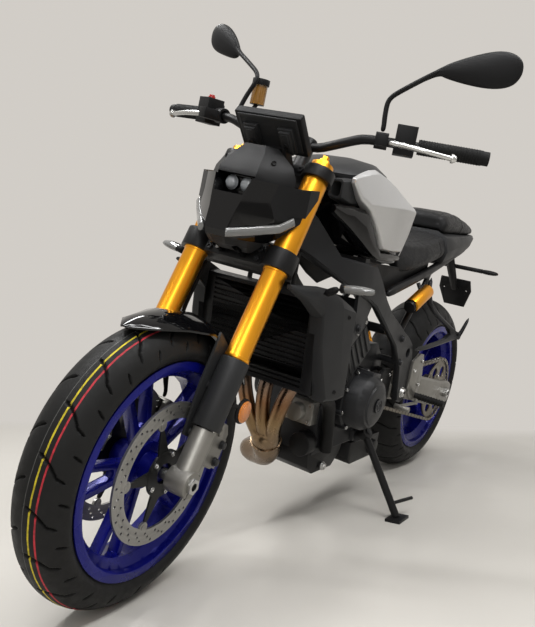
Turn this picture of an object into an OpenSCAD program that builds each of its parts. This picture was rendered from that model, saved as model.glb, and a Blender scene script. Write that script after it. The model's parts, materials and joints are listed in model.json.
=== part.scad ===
// Standard motorcycle, parked on its side stand.
// Built upright in its own frame (x forward from the rear axle, y left, z up from the floor line),
// then leaned onto the stand.

/* [Stance] */
// Distance between the wheel axles
wheelbase = 1430; // [1400:1:1460]
// Angle of the steering axis from upright
rake = 24.7; // [23.5:0.1:26]
// Distance from the steering axis on the floor to below the front axle
trail = 108; // [100:1:116]
// Lean onto the side stand
lean = 11.4; // [10:0.1:13]
// Turn of the handlebar to the left when parked
steer_rest = 4.2; // [0:0.1:8]

/* [Wheels] */
// Outer radius of the front tyre
front_tyre_r = 300; // [296:0.5:304]
// Radius of the front tyre's crown
front_crown_r = 62; // [60:0.5:64]
// Outer radius of the rear tyre
rear_tyre_r = 315; // [311:0.5:318]
// Radius of the rear tyre's crown
rear_crown_r = 96; // [93:0.5:99]
// Radius of the rims' bead seats
bead_r = 216; // [214:0.5:217]
// Half width of the front rim
front_rim_half = 50; // [46:0.5:53]
// Half width of the rear rim
rear_rim_half = 75; // [70:0.5:79]
// Radius of the front brake discs
front_disc_r = 149; // [140:0.5:155]
// Radius of the rear brake disc
rear_disc_r = 122; // [110:0.5:126]
// Radius of both axles
axle_r = 12; // [11:0.5:13]
// Radius of the hole through both axles
axle_bore_r = 8; // [7:0.5:9]

/* [Fork] */
// Half distance between the fork tubes
fork_half = 105; // [104:0.5:108]
// Radius of the gold outer tubes
tube_r = 26; // [25:0.25:27]
// Radius of the inner tubes
stanchion_r = 20.5; // [19.5:0.25:21.5]
// Height of the outer tubes' lower end above the axle, along the fork
tube_low = 235; // [225:1:245]
// Height of the fork tops above the axle, along the fork
tube_top = 735; // [725:1:745]
// Radius of the steering stem
stem_r = 15; // [13:0.5:17]

/* [Handlebar] */
// Radius of the handlebar's ends
bar_r = 11; // [10.5:0.1:11.2]
// Half width of the handlebar
bar_half = 412; // [405:1:420]
// Radius of the rubber grips
grip_r = 16; // [15:0.5:18]

/* [Engine] */
// Half width of the crankcase
case_half = 88; // [84:1:92]
// Half width of the cylinder block and head
block_half = 124; // [118:1:128]
// Radius of the generator cover
generator_r = 80; // [76:1:82]
// Radius of the clutch cover
clutch_r = 92; // [86:1:96]
// Radius of the exhaust headers
header_r = 20; // [18:0.5:22]

/* [Bodywork] */
// Half width of the tank's core, where the side panels sit
tank_half = 120; // [116:1:124]
// Half width over the tank's side panels
panel_half = 198; // [185:1:205]
// Half width of the radiator
radiator_half = 168; // [160:1:172]
// Half width over the radiator shrouds
shroud_half = 212; // [205:1:220]
// Thickness of the moulded panels
skin = 4; // [3:0.5:6]

/* [Stand] */
// Distance of the stand's foot to the left of the floor line
stand_reach = 285; // [275:1:295]
// Radius of the stand's leg
stand_r = 11; // [10:0.5:11.5]

/* [Hidden] */
$fn = 48;

// Gap between pieces that sit on each other, and running clearance of shafts
seat_gap = 0.3;
run_gap = 0.05;
wheel_gap = 5;

// Plan centre of the parked machine, which becomes the origin
centre_x = 696.877;
centre_y = 237.049;

// Steering axis, and the turned and leaned front wheel set down on the floor
axis_dir = [-sin(rake), 0, cos(rake)];
head_ground = [wheelbase + trail, 0, 0];
front_ring = front_tyre_r - front_crown_r;
rear_ring = rear_tyre_r - rear_crown_r;
function turn_dir(v, a) = v * cos(a) + cross(axis_dir, v) * sin(a) + axis_dir * (axis_dir * v) * (1 - cos(a));
function turn_point(p, a) = head_ground + turn_dir(p - head_ground, a);
function lean_z(p) = p[2] * cos(lean) - p[1] * sin(lean);
axle_guess = [wheelbase, 0, front_ring + front_crown_r / cos(lean)];
hub_tilt = lean_z(turn_dir([0, 1, 0], steer_rest));
tyre_low = lean_z(turn_point(axle_guess, steer_rest)) - front_ring * sqrt(1 - hub_tilt * hub_tilt) - front_crown_r;
front_axle_at = axle_guess - axis_dir * tyre_low / (cos(rake) * cos(lean));
rear_axle_at = [0, 0, rear_ring + rear_crown_r / cos(lean)];
axle_from_axis = (front_axle_at - head_ground) * [cos(rake), 0, sin(rake)];

// Vector and curve helpers
function unit(v) = v / norm(v);
function flip_y(p) = [p[0], -p[1], p[2]];
function total(list, i = 0) = i == len(list) - 1 ? list[i] : list[i] + total(list, i + 1);
function curve_point(a, b, c, d, t) =
    0.5 * (2 * b + (c - a) * t + (2 * a - 5 * b + 4 * c - d) * t * t + (3 * b - a - 3 * c + d) * t * t * t);
function curve(points, steps) = let (last = len(points) - 1) concat(
    [for (i = [0:last - 1], k = [0:steps - 1])
        curve_point(points[max(i - 1, 0)], points[i], points[i + 1], points[min(i + 2, last)], k / steps)],
    [points[last]]);
function heading(path, i) = unit(path[min(i + 1, len(path) - 1)] - path[max(i - 1, 0)]);
function square_to(v, t) = unit(v - t * (v * t));
function first_side(t) = unit(cross(t, abs(t[2]) < 0.9 ? [0, 0, 1] : [1, 0, 0]));
function sides_along(path, i, s) = i == len(path) ? [] :
    let (n = square_to(s, heading(path, i))) concat([n], sides_along(path, i + 1, n));

// A closed skin through rings that all have the same number of points
module loft(rings) {
    n = len(rings[0]);
    m = len(rings);
    points = concat([for (ring = rings) each ring], [total(rings[0]) / n, total(rings[m - 1]) / n]);
    faces = concat(
        [for (i = [0:m - 2], k = [0:n - 1]) let (a = i * n + k, b = i * n + (k + 1) % n)
            each [[a, b + n, b], [a, a + n, b + n]]],
        [for (k = [0:n - 1]) [m * n, k, (k + 1) % n]],
        [for (k = [0:n - 1]) let (o = (m - 1) * n) [m * n + 1, o + (k + 1) % n, o + k]]);
    volume = total([for (f = faces) points[f[0]] * cross(points[f[1]], points[f[2]])]);
    polyhedron(points, volume < 0 ? faces : [for (f = faces) [f[2], f[1], f[0]]]);
}

// A round bar along a path; the radius is one value or one for each point
module bar(path, r, sides = 10) {
    side = sides_along(path, 0, first_side(heading(path, 0)));
    loft([for (i = [0:len(path) - 1])
        let (t = heading(path, i), u = side[i], v = cross(t, u), size = is_list(r) ? r[i] : r)
        [for (k = [0:sides - 1]) path[i] + size * (cos(360 * k / sides) * u + sin(360 * k / sides) * v)]]);
}

// One ring across the machine at x, from the left half's [y, z] points, lowest first
function cross_ring(x, half) = concat(
    [for (p = half) [x, p[0], p[1]]],
    [for (i = [len(half) - 1:-1:0]) [x, -half[i][0], half[i][1]]]);
// One ring on the left side at x, closed by a flat inner face at y_in
function side_ring(x, y_in, half) = concat(
    [for (p = half) [x, p[0], p[1]]],
    [[x, y_in, half[len(half) - 1][1]], [x, y_in, half[0][1]]]);
// A box ring at x with chamfered corners
function box_ring(x, y0, y1, z0, z1, c) = [
    [x, y0 + c, z0], [x, y1 - c, z0], [x, y1, z0 + c], [x, y1, z1 - c],
    [x, y1 - c, z1], [x, y0 + c, z1], [x, y0, z1 - c], [x, y0, z0 + c]];
// Rings through every station, with curves between them
function smooth(rings, steps) = let (n = len(rings[0]))
    let (lines = [for (k = [0:n - 1]) curve([for (ring = rings) ring[k]], steps)])
    [for (i = [0:len(lines[0]) - 1]) [for (k = [0:n - 1]) lines[k][i]]];

module leaned() { translate([-centre_x, -centre_y, 0]) rotate([-lean, 0, 0]) children(); }
module turned() { leaned() translate(head_ground) rotate(a = steer_rest, v = axis_dir) translate(-head_ground) children(); }
module on_fork() { turned() translate(front_axle_at) rotate([0, -rake, 0]) children(); }
module on_front_hub() { turned() translate(front_axle_at) rotate([-90, 0, 0]) children(); }
module on_rear_hub() { leaned() translate(rear_axle_at) rotate([-90, 0, 0]) children(); }
module both_sides() { children(); mirror([0, 1, 0]) children(); }
// A rod between two points, with a true round wall
module rod(a, b, r) {
    d = b - a;
    translate(a) rotate([0, acos(d[2] / norm(d)), atan2(d[1], d[0])]) cylinder(r = r, h = norm(d));
}
// A plate drawn in the machine's side view, between two values of y
module side_plate(points, y0, y1) { translate([0, y1, 0]) rotate([90, 0, 0]) linear_extrude(y1 - y0) polygon(points); }
module cross_rod(x, z, r, y0, y1) { translate([x, y0, z]) rotate([-90, 0, 0]) cylinder(r = r, h = y1 - y0); }

// Chassis
pivot_at = [450, 373];
spar_in = 130;
spar_out = 150;
block_tilt = 40;
block_base = [745, 470];
function in_block(u, w) = [block_base[0] + u * cos(block_tilt) + w * sin(block_tilt), block_base[1] - u * sin(block_tilt) + w * cos(block_tilt)];
crank_at = [690, 372];
clutch_at = [650, 372];
output_at = [545, 375];
chain_y = 103;
shock_top = [536, 560];

module frame() color("#3a3c40") leaned() difference() {
    union() {
        both_sides() loft([
            box_ring(418, spar_in, spar_out, 345, 480, 5),
            box_ring(440, spar_in, spar_out, 338, 528, 5),
            box_ring(472, spar_in, spar_out, 346, 548, 5),
            box_ring(507, spar_in, spar_out, 452, 563, 5),
            box_ring(569, spar_in, spar_out, 524, 594, 5),
            box_ring(640, spar_in, spar_out, 570, 626, 5),
            box_ring(712, spar_in, spar_out + 3, 612, 672, 5),
            box_ring(762, spar_in, spar_out + 2, 644, 720, 5),
            box_ring(806, spar_in, spar_out, 662, 757, 5),
            box_ring(877, spar_in - 2, spar_out - 2, 681, 760, 5),
            box_ring(960, 98, 124, 715, 768, 5),
            box_ring(1040, 50, 84, 755, 850, 5),
            box_ring(1125, 8, 44, 790, 895, 5)]);
        translate(head_ground + axis_dir * 850) rotate([0, -rake, 0]) cylinder(r = 36, h = 140);
        cross_rod(pivot_at[0], pivot_at[1], 13, -spar_out, spar_out);
        cross_rod(shock_top[0], shock_top[1], 14, -spar_in - 2, spar_in + 2);
        both_sides() {
            side_plate([[770, 655], [870, 692], [850, 578], [812, 572]], spar_in + 1, spar_in + 11);
            cross_rod(832, 590, 12, block_half + 3 + seat_gap, spar_in + 6);
            cross_rod(516, 474, 10, case_half + seat_gap, spar_in + 6);
        }
        translate([826, -spar_in - 2, 746]) cube([24, 2 * spar_in + 4, 23.6]);
    }
    translate(head_ground + axis_dir * 800) rotate([0, -rake, 0]) cylinder(r = stem_r + run_gap, h = 260);
    both_sides() cross_rod(466, 500, 15, spar_in - 10, spar_out + 10);
    translate([0, 0, -seat_gap]) tank_body();
}

module rails() both_sides() bar([[650, 116.4, 672], [560, 116.4, 696], [430, 112, 722], [250, 104, 766], [60, 88, 812], [-105, 66, 838]], 13, 12);
module subframe() color("#2c2d30") leaned() {
    rails();
    both_sides() bar([[504, 118.4, 536], [410, 112, 640], [300, 106, 735]], 11, 12);
    translate([395, -100, 712]) cube([24, 200, 16]);
    translate([80, -84, 786]) cube([24, 168, 15]);
    translate([-100, -66, 812]) cube([20, 132, 19]);
}

module swingarm() color("#8d9095") leaned() difference() {
    union() {
        both_sides() loft([
            box_ring(-56, 117, 143, 272, 346, 8),
            box_ring(-20, 117, 143, 262, 356, 8),
            box_ring(40, 117, 143, 268, 360, 8),
            box_ring(210, 116, 142, 300, 392, 8),
            box_ring(300, 104, 136, 322, 408, 8),
            box_ring(350, 92, 127, 330, 408, 8),
            box_ring(430, 91, 127, 338, 404, 8),
            box_ring(480, 91, 127, 346, 402, 8)]);
        translate([352, -95, 345]) cube([58, 190, 62]);
    }
    cross_rod(pivot_at[0], pivot_at[1], 13 + run_gap, -200, 200);
    cross_rod(0, rear_axle_at[2], axle_r + run_gap, -200, 200);
    both_sides() cross_rod(90, 318, 3.4, 124, 160);
}

module rear_axle() color("#6c6f74") on_rear_hub() difference() {
    union() {
        translate([0, 0, -158]) cylinder(r = axle_r, h = 316);
        translate([0, 0, 143 + seat_gap]) cylinder(r = 19, h = 13, $fn = 6);
        translate([0, 0, -156 - seat_gap]) cylinder(r = 19, h = 13, $fn = 6);
    }
    translate([0, 0, -200]) cylinder(r = axle_bore_r, h = 400);
}

module crankcase() color("#4a4c50") leaned() {
    base_low = in_block(82, 0);
    base_high = in_block(-82, 0);
    side_plate([[505, 300], [505, 470], [560, 520], base_high, base_low, [846, 360], [846, 225], [560, 225]],
        -case_half, case_half);
    cross_rod(output_at[0], output_at[1], chain_small_r - 5.6, case_half - 1, chain_y + 6);
    translate([574, 70, 228]) cube([48, 28, 32]);
    rod(stand_pivot - stand_axis * 44, stand_pivot - stand_axis * (12 + seat_gap), 15);
    rod(stand_pivot - stand_axis * 44, stand_pivot + stand_axis * 17, 8);
}

module cylinder_block() color("#3f4145") leaned() translate([block_base[0], 0, block_base[1]]) rotate([0, block_tilt, 0]) {
    translate([-80, -block_half, seat_gap]) cube([160, 2 * block_half, 96]);
    translate([-86, -block_half - 3, 96]) cube([172, 2 * block_half + 6, 62]);
    translate([-70, -block_half + 4, 158]) cube([140, 2 * block_half - 8, 34]);
}

module oil_pan() color("#2b2c2f") leaned() {
    side_plate([[640, 225 - seat_gap], [846, 225 - seat_gap], [836, 182], [800, 158], [690, 158], [652, 190]], -78, 78);
    cross_rod(760, 176, 9, 77, 84);
    translate([846 + seat_gap, 68, 258]) rotate([0, 90, 0]) cylinder(r = 32, h = 44);
}

module generator_cover() translate([crank_at[0], case_half + seat_gap, crank_at[1]]) rotate([-90, 0, 0]) {
    rotate_extrude($fn = 72) polygon([
        [0, 0], [generator_r + 8, 0], [generator_r + 8, 22], [generator_r, 24], [generator_r, 62],
        [generator_r - 14, 84], [generator_r - 22, 85], [generator_r - 24, 90], [generator_r - 44, 92], [0, 94]]);
    for (a = [20:45:359]) rotate(a) translate([generator_r + 6, 0, 0.4]) cylinder(r = 8, h = 27, $fn = 24);
    rotate(-100) translate([generator_r - 34, -26, 1]) cube([40, 52, 66]);
}

module clutch_cover() translate([clutch_at[0], -case_half - seat_gap, clutch_at[1]]) rotate([90, 0, 0]) {
    rotate_extrude($fn = 72) polygon([
        [0, 0], [clutch_r + 8, 0], [clutch_r + 8, 20], [clutch_r, 22], [clutch_r, 56],
        [clutch_r - 12, 76], [clutch_r - 22, 77], [clutch_r - 24, 82], [clutch_r - 48, 84], [0, 86]]);
    for (a = [20:45:359]) rotate(a) translate([clutch_r + 6, 0, 0.4]) cylinder(r = 8, h = 24, $fn = 24);
    translate([118, -6, 0]) cylinder(r = 52, h = 60);
}

module engine_covers() color("#4b4d52") leaned() {
    generator_cover();
    clutch_cover();
}

module sprocket_cover() color("#36383b") leaned() {
    side_plate([[500, 330], [500, 420], [512, 448], [560, 450], [598, 420], [598, 320], [560, 296], [520, 300]],
        chain_y + 13, chain_y + 25);
    cross_rod(524, 440, 7, case_half + seat_gap, chain_y + 14);
    cross_rod(536, 308, 7, case_half + seat_gap, chain_y + 14);
}

module oil_cooler() color("#b9bcc0") leaned() {
    translate([846 + seat_gap, 0, 312]) cube([34, 84, 62]);
    translate([880, 42, 343]) rotate([0, 90, 0]) cylinder(r = 24, h = 26);
}

module exhaust_headers() color("#7d5a3a") leaned() {
    for (side = [-1, 0, 1]) {
        port = in_block(86 + seat_gap, 124);
        out = in_block(116, 124);
        bar(concat([[port[0], side * 78, port[1]]], curve([[out[0], side * 78, out[1]], [988, side * 74, 440],
            [999, side * 58, 384], [976, side * 36 - 3, 312], [932, side * 20 - 6, 250]], 4)), header_r, 12);
    }
    collector = concat(curve([[950, -4, 284], [930, -8, 246], [904, -18, 206], [882, -62, 187], [856, -106, 184], [800, -113, 182]], 3),
        [[690, -114, 184], [650, -108, 190], [612 + seat_gap, -108, 190]]);
    bar(collector, [for (i = [0:len(collector) - 1]) i < 5 ? 40 : i < 8 ? 36 - 2 * (i - 5) : i < 12 ? 29 : 26], 14);
}

module muffler() color("#232426") leaned() {
    side_plate([[405, 168], [430, 145], [590, 145], [612, 165], [612, 218], [405, 218]], -118, 92);
    cross_rod(460, 180, 24, -134, -118);
    cross_rod(460, 180, 24, 92, 108);
}

module radiator() color("#17181a") leaned() translate([1040, 0, 448]) rotate([0, 7, 0]) {
    difference() {
        translate([0, -radiator_half, 0]) cube([34, 2 * radiator_half, 232]);
        for (i = [0:17]) translate([28, -radiator_half + 30, 12 + i * 12]) cube([20, 2 * radiator_half - 60, 5]);
    }
    translate([-12, -radiator_half + 30, 30]) cube([12, 2 * radiator_half - 60, 170]);
    rotate([0, -7, 0]) both_sides() translate([26, 62, 220]) cylinder(r = 6, h = 762.5 - 448 - 220);
    rotate([0, -7, 0]) translate([-1040, 0, -448]) bar(curve([
        [1052, 142, 476], [1010, 142, 440], [940, 136, 416], [872, 122, 384], [826, 109, 320], [808, case_half + 18.6, 262], [804, case_half + 18.6, 236]], 3),
        17, 12);
}

module radiator_shrouds() color("#3b3d40") leaned() both_sides() difference() {
    loft([
        side_ring(980, 156, [[192, 440], [204, 442], [shroud_half - 4, 446], [shroud_half - 5, 454], [200, 458]]),
        side_ring(1010, 156, [[190, 436], [205, 439], [shroud_half, 450], [shroud_half, 651], [198, 661]]),
        side_ring(1060, 156, [[182, 436], [195, 438], [202, 448], [203, 661], [193, 682]]),
        side_ring(1086, 154, [[178, 500], [189, 503], [196, 512], [198, 664], [187, 692]]),
        side_ring(1105, 154, [[176, 560], [185, 563], [191, 572], [193, 668], [182, 700]]),
        side_ring(1116, 152, [[172, 634], [182, 638], [187, 648], [188, 676], [178, 701]]),
        side_ring(1170, 150, [[164, 668], [172, 671], [176, 677], [176, 689], [170, 702]]),
        side_ring(1232, 148, [[155, 695], [159, 696], [161, 698], [160, 701], [156, 703]])]);
    translate([900, 100, 380]) cube([210, radiator_half + seat_gap - 100, 360]);
}

module tank_body() loft(smooth([
    cross_ring(560, [[52, 760], [86, 772], [96, 810], [80, 856], [44, 872]]),
    cross_ring(640, [[70, 752], [tank_half, 766], [tank_half, 850], [104, 916], [56, 936]]),
    cross_ring(720, [[80, 752], [tank_half, 762], [tank_half, 900], [112, 950], [64, 972]]),
    cross_ring(830, [[80, 770], [tank_half, 780], [tank_half, 930], [114, 966], [70, 978]]),
    cross_ring(930, [[60, 800], [92, 812], [tank_half - 4, 900], [108, 944], [70, 952]])], 3));
cap_at = [676, 0, 946];
module fuel_tank() color("#1c1d1f") leaned() difference() {
    tank_body();
    translate(cap_at) rotate([0, -14, 0]) translate([0, 0, -seat_gap]) cylinder(r = 36 + seat_gap, h = 60);
}

module tank_cover() color("#2f3033") leaned() difference() {
    union() {
        loft(smooth([
            cross_ring(714, [[30, 964], [70, 960], [76, 980], [56, 996], [28, 1000]]),
            cross_ring(790, [[50, 966], [108, 958], [112, 984], [78, 1006], [34, 1012]]),
            cross_ring(880, [[50, 956], [110, 950], [117, 978], [84, 1002], [36, 1010]]),
            cross_ring(950, [[50, 954], [104, 946], [110, 964], [78, 986], [34, 994]]),
            cross_ring(1010, [[30, 958], [60, 954], [64, 960], [46, 970], [22, 974]])], 3));
        both_sides() difference() {
            loft([
                box_ring(918, 84, tank_half - seat_gap, 892, 955, 6),
                box_ring(970, 84, tank_half - seat_gap, 890, 953, 6),
                box_ring(1016, 80, tank_half - 4, 900, 946, 6)]);
            loft([
                box_ring(972, 92, tank_half - 10, 902, 940, 5),
                box_ring(1020, 86, tank_half - 9, 906, 940, 5)]);
        }
    }
    for (y = [-seat_gap, seat_gap]) translate([0, y, seat_gap]) tank_body();
    translate([seat_gap, 0, 0]) tank_body();
}

module fuel_cap() color("#101112") leaned() translate(cap_at) rotate([0, -14, 0]) cylinder(r = 36, h = 14);

module panel_body() both_sides() loft([
    side_ring(700, tank_half + seat_gap, [[146, 797], [156, 800], [160, 806], [158, 812], [146, 816]]),
    side_ring(724, tank_half + seat_gap, [[148, 796], [162, 800], [179, 846], [175, 856], [150, 862]]),
    side_ring(744, tank_half + seat_gap, [[149, 796], [164, 800], [panel_half - 2, 908], [panel_half - 8, 915], [134, 926]]),
    side_ring(790, tank_half + seat_gap, [[150, 796], [164, 800], [panel_half - 5, 910], [178, 936], [126, 954]]),
    side_ring(825, tank_half + seat_gap, [[150, 798], [162, 803], [panel_half - 13, 908], [163, 958], [126, 972]]),
    side_ring(850, tank_half + seat_gap, [[150, 829], [158, 834], [panel_half - 21, 906], [152, 971], [126, 983]]),
    side_ring(887, tank_half + seat_gap, [[148, 864], [155, 869], [panel_half - 32, 904], [141, 981], [126, 988]]),
    side_ring(920, tank_half + seat_gap, [[146, 890], [151, 893], [panel_half - 44, 903], [138, 974], [126, 982]]),
    side_ring(952, tank_half + seat_gap, [[134, 908], [138, 911], [140, 920], [133, 964], [126, 971]]),
    side_ring(988, tank_half + seat_gap, [[128, 942], [131, 944], [132, 949], [130, 953], [126, 955]])]);
module tank_panels() color("#b7babd") leaned() difference() {
    panel_body();
    translate([0, seat_gap, 0]) tank_body();
    translate([0, -seat_gap, 0]) tank_body();
}

module intake_panels() color("#141517") leaned() difference() {
    both_sides() loft([
        side_ring(672, tank_half + seat_gap, [[134, 774], [143, 776], [145, 781], [143, 786], [134, 788]]),
        side_ring(740, tank_half + seat_gap, [[136, 769], [149, 772], [153, 780], [151, 789], [140, 795]]),
        side_ring(812, tank_half + seat_gap, [[136, 770.2], [147, 772], [152, 779], [150, 789], [140, 795]]),
        side_ring(850, tank_half + seat_gap, [[136, 778], [147, 782], [152, 800], [150, 819], [140, 827]]),
        side_ring(887, tank_half + seat_gap, [[136, 792], [146, 797], [151, 826], [149, 852], [139, 862]]),
        side_ring(920, tank_half + seat_gap, [[134, 806], [144, 812], [150, 846], [147, 878], [136, 888]]),
        side_ring(976, tank_half + seat_gap, [[128, 834], [137, 838], [142, 860], [140, 881], [130, 890]]),
        side_ring(1054, tank_half - 2, [[122, 866], [127, 870], [130, 876], [128, 882], [122, 886]])]);
    for (y = [-seat_gap, seat_gap]) translate([0, y, 0]) tank_body();
    for (way = [[0, 0, 0], [0.4, 0, 0], [0.3, 0, -0.4], [0, 0, -0.4]]) translate(way) panel_body();
}

module rider_seat() color("#202124") leaned() difference() {
    loft(smooth([
        cross_ring(256, [[70, 800], [122, 794], [131, 822], [116, 862], [60, 874]]),
        cross_ring(320, [[80, 786], [126, 778], [134, 806], [117, 846], [60, 852]]),
        cross_ring(410, [[80, 768], [127, 758], [135, 784], [116, 826], [60, 832]]),
        cross_ring(500, [[70, 752], [118, 738], [123, 764], [98, 820], [50, 832]]),
        cross_ring(560 - seat_gap, [[48, 754], [96, 730], [104, 758], [74, 826], [38, 844]])], 3));
    for (y = [-seat_gap, seat_gap]) translate([0, y, seat_gap]) rails();
}

module tail_body() loft(smooth([
    cross_ring(-226, [[34, 872], [46, 874], [50, 882], [46, 890], [34, 893]]),
    cross_ring(-120, [[60, 846], [78, 850], [84, 874], [76, 886], [50, 889]]),
    cross_ring(40, [[80, 818], [106, 822], [116, 852], [108, 876], [70, 883]]),
    cross_ring(256 - seat_gap, [[84, 776], [120, 780], [130, 816], [118, 860], [80, 879]])], 3));

module passenger_seat() color("#1d1e20") leaned() difference() {
    loft(smooth([
        cross_ring(-178, [[36, 884], [58, 890], [62, 906], [52, 916], [28, 920]]),
        cross_ring(-60, [[60, 878], [84, 886], [90, 908], [78, 926], [40, 932]]),
        cross_ring(110, [[70, 866], [100, 880], [108, 910], [92, 938], [46, 946]]),
        cross_ring(236, [[70, 862], [104, 876], [112, 902], [94, 928], [46, 936]]),
        cross_ring(255.4, [[60, 866], [90, 878], [96, 894], [80, 914], [40, 920]])], 3));
    translate([0, 0, seat_gap]) tail_body();
}

module tail_cowl() color("#3a3b3e") leaned() difference() {
    tail_body();
    for (y = [-seat_gap, seat_gap]) translate([0, y, seat_gap]) rails();
}

module tail_lamp() color("#a01515") leaned() translate([-232 - seat_gap, -42, 874]) cube([6, 84, 16]);

module plate_holder() color("#151617") leaned() difference() {
    union() {
        bar([[-102, 0, 821], [-130, 0, 819], [-205, 0, 752], [-292, 0, 676]], [18, 18, 17, 14], 8);
        translate([-296, 0, 690]) rotate([0, 24, 0]) translate([3, 0, 0]) rotate([0, -90, 0]) linear_extrude(6)
            polygon([[-92, -42], [-92, 42], [-20, 66], [26, 60], [26, -60], [-20, -66]]);
        cross_rod(-205, 764, 8, -116, 116);
    }
    translate([-296, 0, 690]) rotate([0, 24, 0]) for (s = [-1, 1]) translate([-10, s * 46, -20]) rotate([0, 90, 0]) cylinder(r = 3.2, h = 20);
}

module indicators() color("#1b1c1e") leaned() both_sides() {
    rod([1138, 184, 690], [1134, 226, 712], 9);
    bar([[1134, 220, 710], [1132, 232, 712], [1128, 262, 716], [1122, 290, 718], [1120, 298, 718]], [14, 19, 21, 17, 8], 12);
    bar([[-205, 116 + seat_gap, 764], [-205, 124, 764], [-206, 152, 764], [-208, 174, 764], [-208, 180, 764]], [12, 17, 19, 14, 6], 12);
}

module rear_shock() color("#c8c8c8") leaned() {
    low = [395, 0, 415.5];
    top = [shock_top[0], 0, shock_top[1]];
    way = unit(top - low);
    rod(low, top - way * (14 + seat_gap), 12);
    for (i = [0:5]) rod(low + way * (34 + i * 22), low + way * (45 + i * 22), 31);
    rod(low + way * 24, low + way * 28, 34);
    rod(low + way * 170, low + way * 182, 34);
}

module shock_reservoir() color("#c8832a") leaned() {
    rod([496, 140, 644], [392, 140, 690], 22);
    rod([508, 140, 638.7], [496, 140, 644], 17);
    rod([425, 140, 676], [425, 119.2, 710.7], 6);
}

module footrests() color("#a4a7ab") leaned() {
    both_sides() {
        side_plate([[332, 342], [322, 420], [344, 488], [372, 492], [420, 470], [420, 372], [384, 342]],
            spar_out + seat_gap, spar_out + 9);
        cross_rod(346, 352, 10, spar_out + 4, spar_out + 105);
    }
    rod([505, 168, 340], [344, 168, 331], 5);
    rod([350, 167, 326], [346, 168, 352], 7);
    cross_rod(502, 340, 8, 158, 205);
}

module passenger_footrests() color("#3a3c40") leaned() both_sides() {
    bar([[340, 126.7, 735], [374, 136, 650], [240, 156, 598], [112, 176, 545]], [9, 9, 8, 7], 12);
    bar([[446, 158.6, 509], [300, 165, 516], [112, 176, 541]], [8, 8, 8], 12);
    rod([112, 176, 542], [112, 190, 542], 13);
    rod([114, 186, 545], [98, 200, 612], 6);
}

// Drive chain: a loop round both sprockets, in the machine's side view
chain_small_r = 41;
chain_big_r = 114;
chain_gap = norm([output_at[0], output_at[1] - rear_axle_at[2]]);
chain_slope = atan2(output_at[1] - rear_axle_at[2], output_at[0]);
chain_wrap = asin((chain_big_r - chain_small_r) / chain_gap);
function chain_loop(off) = concat(
    [for (a = [chain_slope + 90 - chain_wrap:8:chain_slope + 270 + chain_wrap])
        [(chain_big_r + off) * cos(a), rear_axle_at[2] + (chain_big_r + off) * sin(a)]],
    [for (a = [chain_slope - 90 + chain_wrap:12:chain_slope + 90 - chain_wrap])
        [output_at[0] + (chain_small_r + off) * cos(a), output_at[1] + (chain_small_r + off) * sin(a)]]);

module drive_chain() color("#5a5648") leaned() {
    for (y = [chain_y - 8, chain_y + 4]) difference() {
        side_plate(chain_loop(7), y, y + 4);
        side_plate(chain_loop(-5), y - 1, y + 5);
    }
    difference() {
        side_plate(chain_loop(4), chain_y - 4, chain_y + 4);
        side_plate(chain_loop(-4), chain_y - 5, chain_y + 5);
    }
}

module rear_caliper() color("#6a6d70") leaned() difference() {
    union() {
        translate([-20, -112, rear_axle_at[2] + 92]) rotate([0, 14, 0]) cube([92, 48, 46]);
        side_plate([[-24, 300], [24, 300], [58, 400], [58, 440], [-12, 440]], -117 + seat_gap, -106);
    }
    translate([0, -78, rear_axle_at[2]]) rotate([90, 0, 0]) cylinder(r = rear_disc_r + 6, h = 15);
    cross_rod(0, rear_axle_at[2], axle_r + run_gap, -150, -90);
}

// Steering, in the fork's own frame: x forward, z up along the tubes from the axle
tube_x = -7;
low_clamp_z = 470;
top_clamp_z = 694;
bar_mid = [1090, 0, 1002];
bar_in_fork = [(bar_mid - front_axle_at) * [cos(rake), 0, sin(rake)], 0, (bar_mid - front_axle_at) * axis_dir];

module lower_clamp() difference() {
    union() {
        translate([axle_from_axis * -1, 0, low_clamp_z]) cylinder(r = stem_r, h = top_clamp_z - low_clamp_z - seat_gap);
        translate([axle_from_axis * -1 - 30, -fork_half, low_clamp_z]) cube([70, 2 * fork_half, 44]);
        both_sides() translate([tube_x, fork_half, low_clamp_z]) cylinder(r = tube_r + 11, h = 44);
    }
    both_sides() translate([tube_x, fork_half, low_clamp_z - 1]) cylinder(r = tube_r + 2 + run_gap, h = 60);
}

module upper_clamp() difference() {
    union() {
        translate([axle_from_axis * -1 - 28, -fork_half, top_clamp_z]) cube([62, 2 * fork_half, 26]);
        both_sides() translate([tube_x, fork_half, top_clamp_z]) cylinder(r = tube_r + 10, h = 26);
        both_sides() translate([bar_in_fork[0], 45, top_clamp_z + 20]) cylinder(r = 16, h = bar_in_fork[2] - top_clamp_z - 3);
    }
    both_sides() translate([tube_x, fork_half, top_clamp_z - 1]) cylinder(r = tube_r + 2 + run_gap, h = 60);
    translate([bar_in_fork[0], -80, bar_in_fork[2]]) rotate([-90, 0, 0]) cylinder(r = bar_r + seat_gap, h = 160);
}

module fork_clamps() color("#242528") on_fork() {
    lower_clamp();
    upper_clamp();
}

module fork_tubes() color("#c79a3e") on_fork() both_sides() translate([tube_x, fork_half, 0]) {
    difference() {
        union() {
            translate([0, 0, tube_low + 34]) cylinder(r = tube_r, h = tube_top - tube_low - 34);
            translate([0, 0, tube_low]) cylinder(r = tube_r - 2, h = 36);
            translate([0, 0, tube_low + 30]) cylinder(r = tube_r + 1.5, h = 8);
            translate([0, 0, low_clamp_z - 4]) cylinder(r = tube_r + 2, h = tube_top - low_clamp_z - 4);
        }
        translate([0, 0, tube_low - 1]) cylinder(r = stanchion_r + run_gap, h = 400);
    }
    translate([0, 0, tube_top]) cylinder(r = 17, h = 8, $fn = 6);
}

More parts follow.
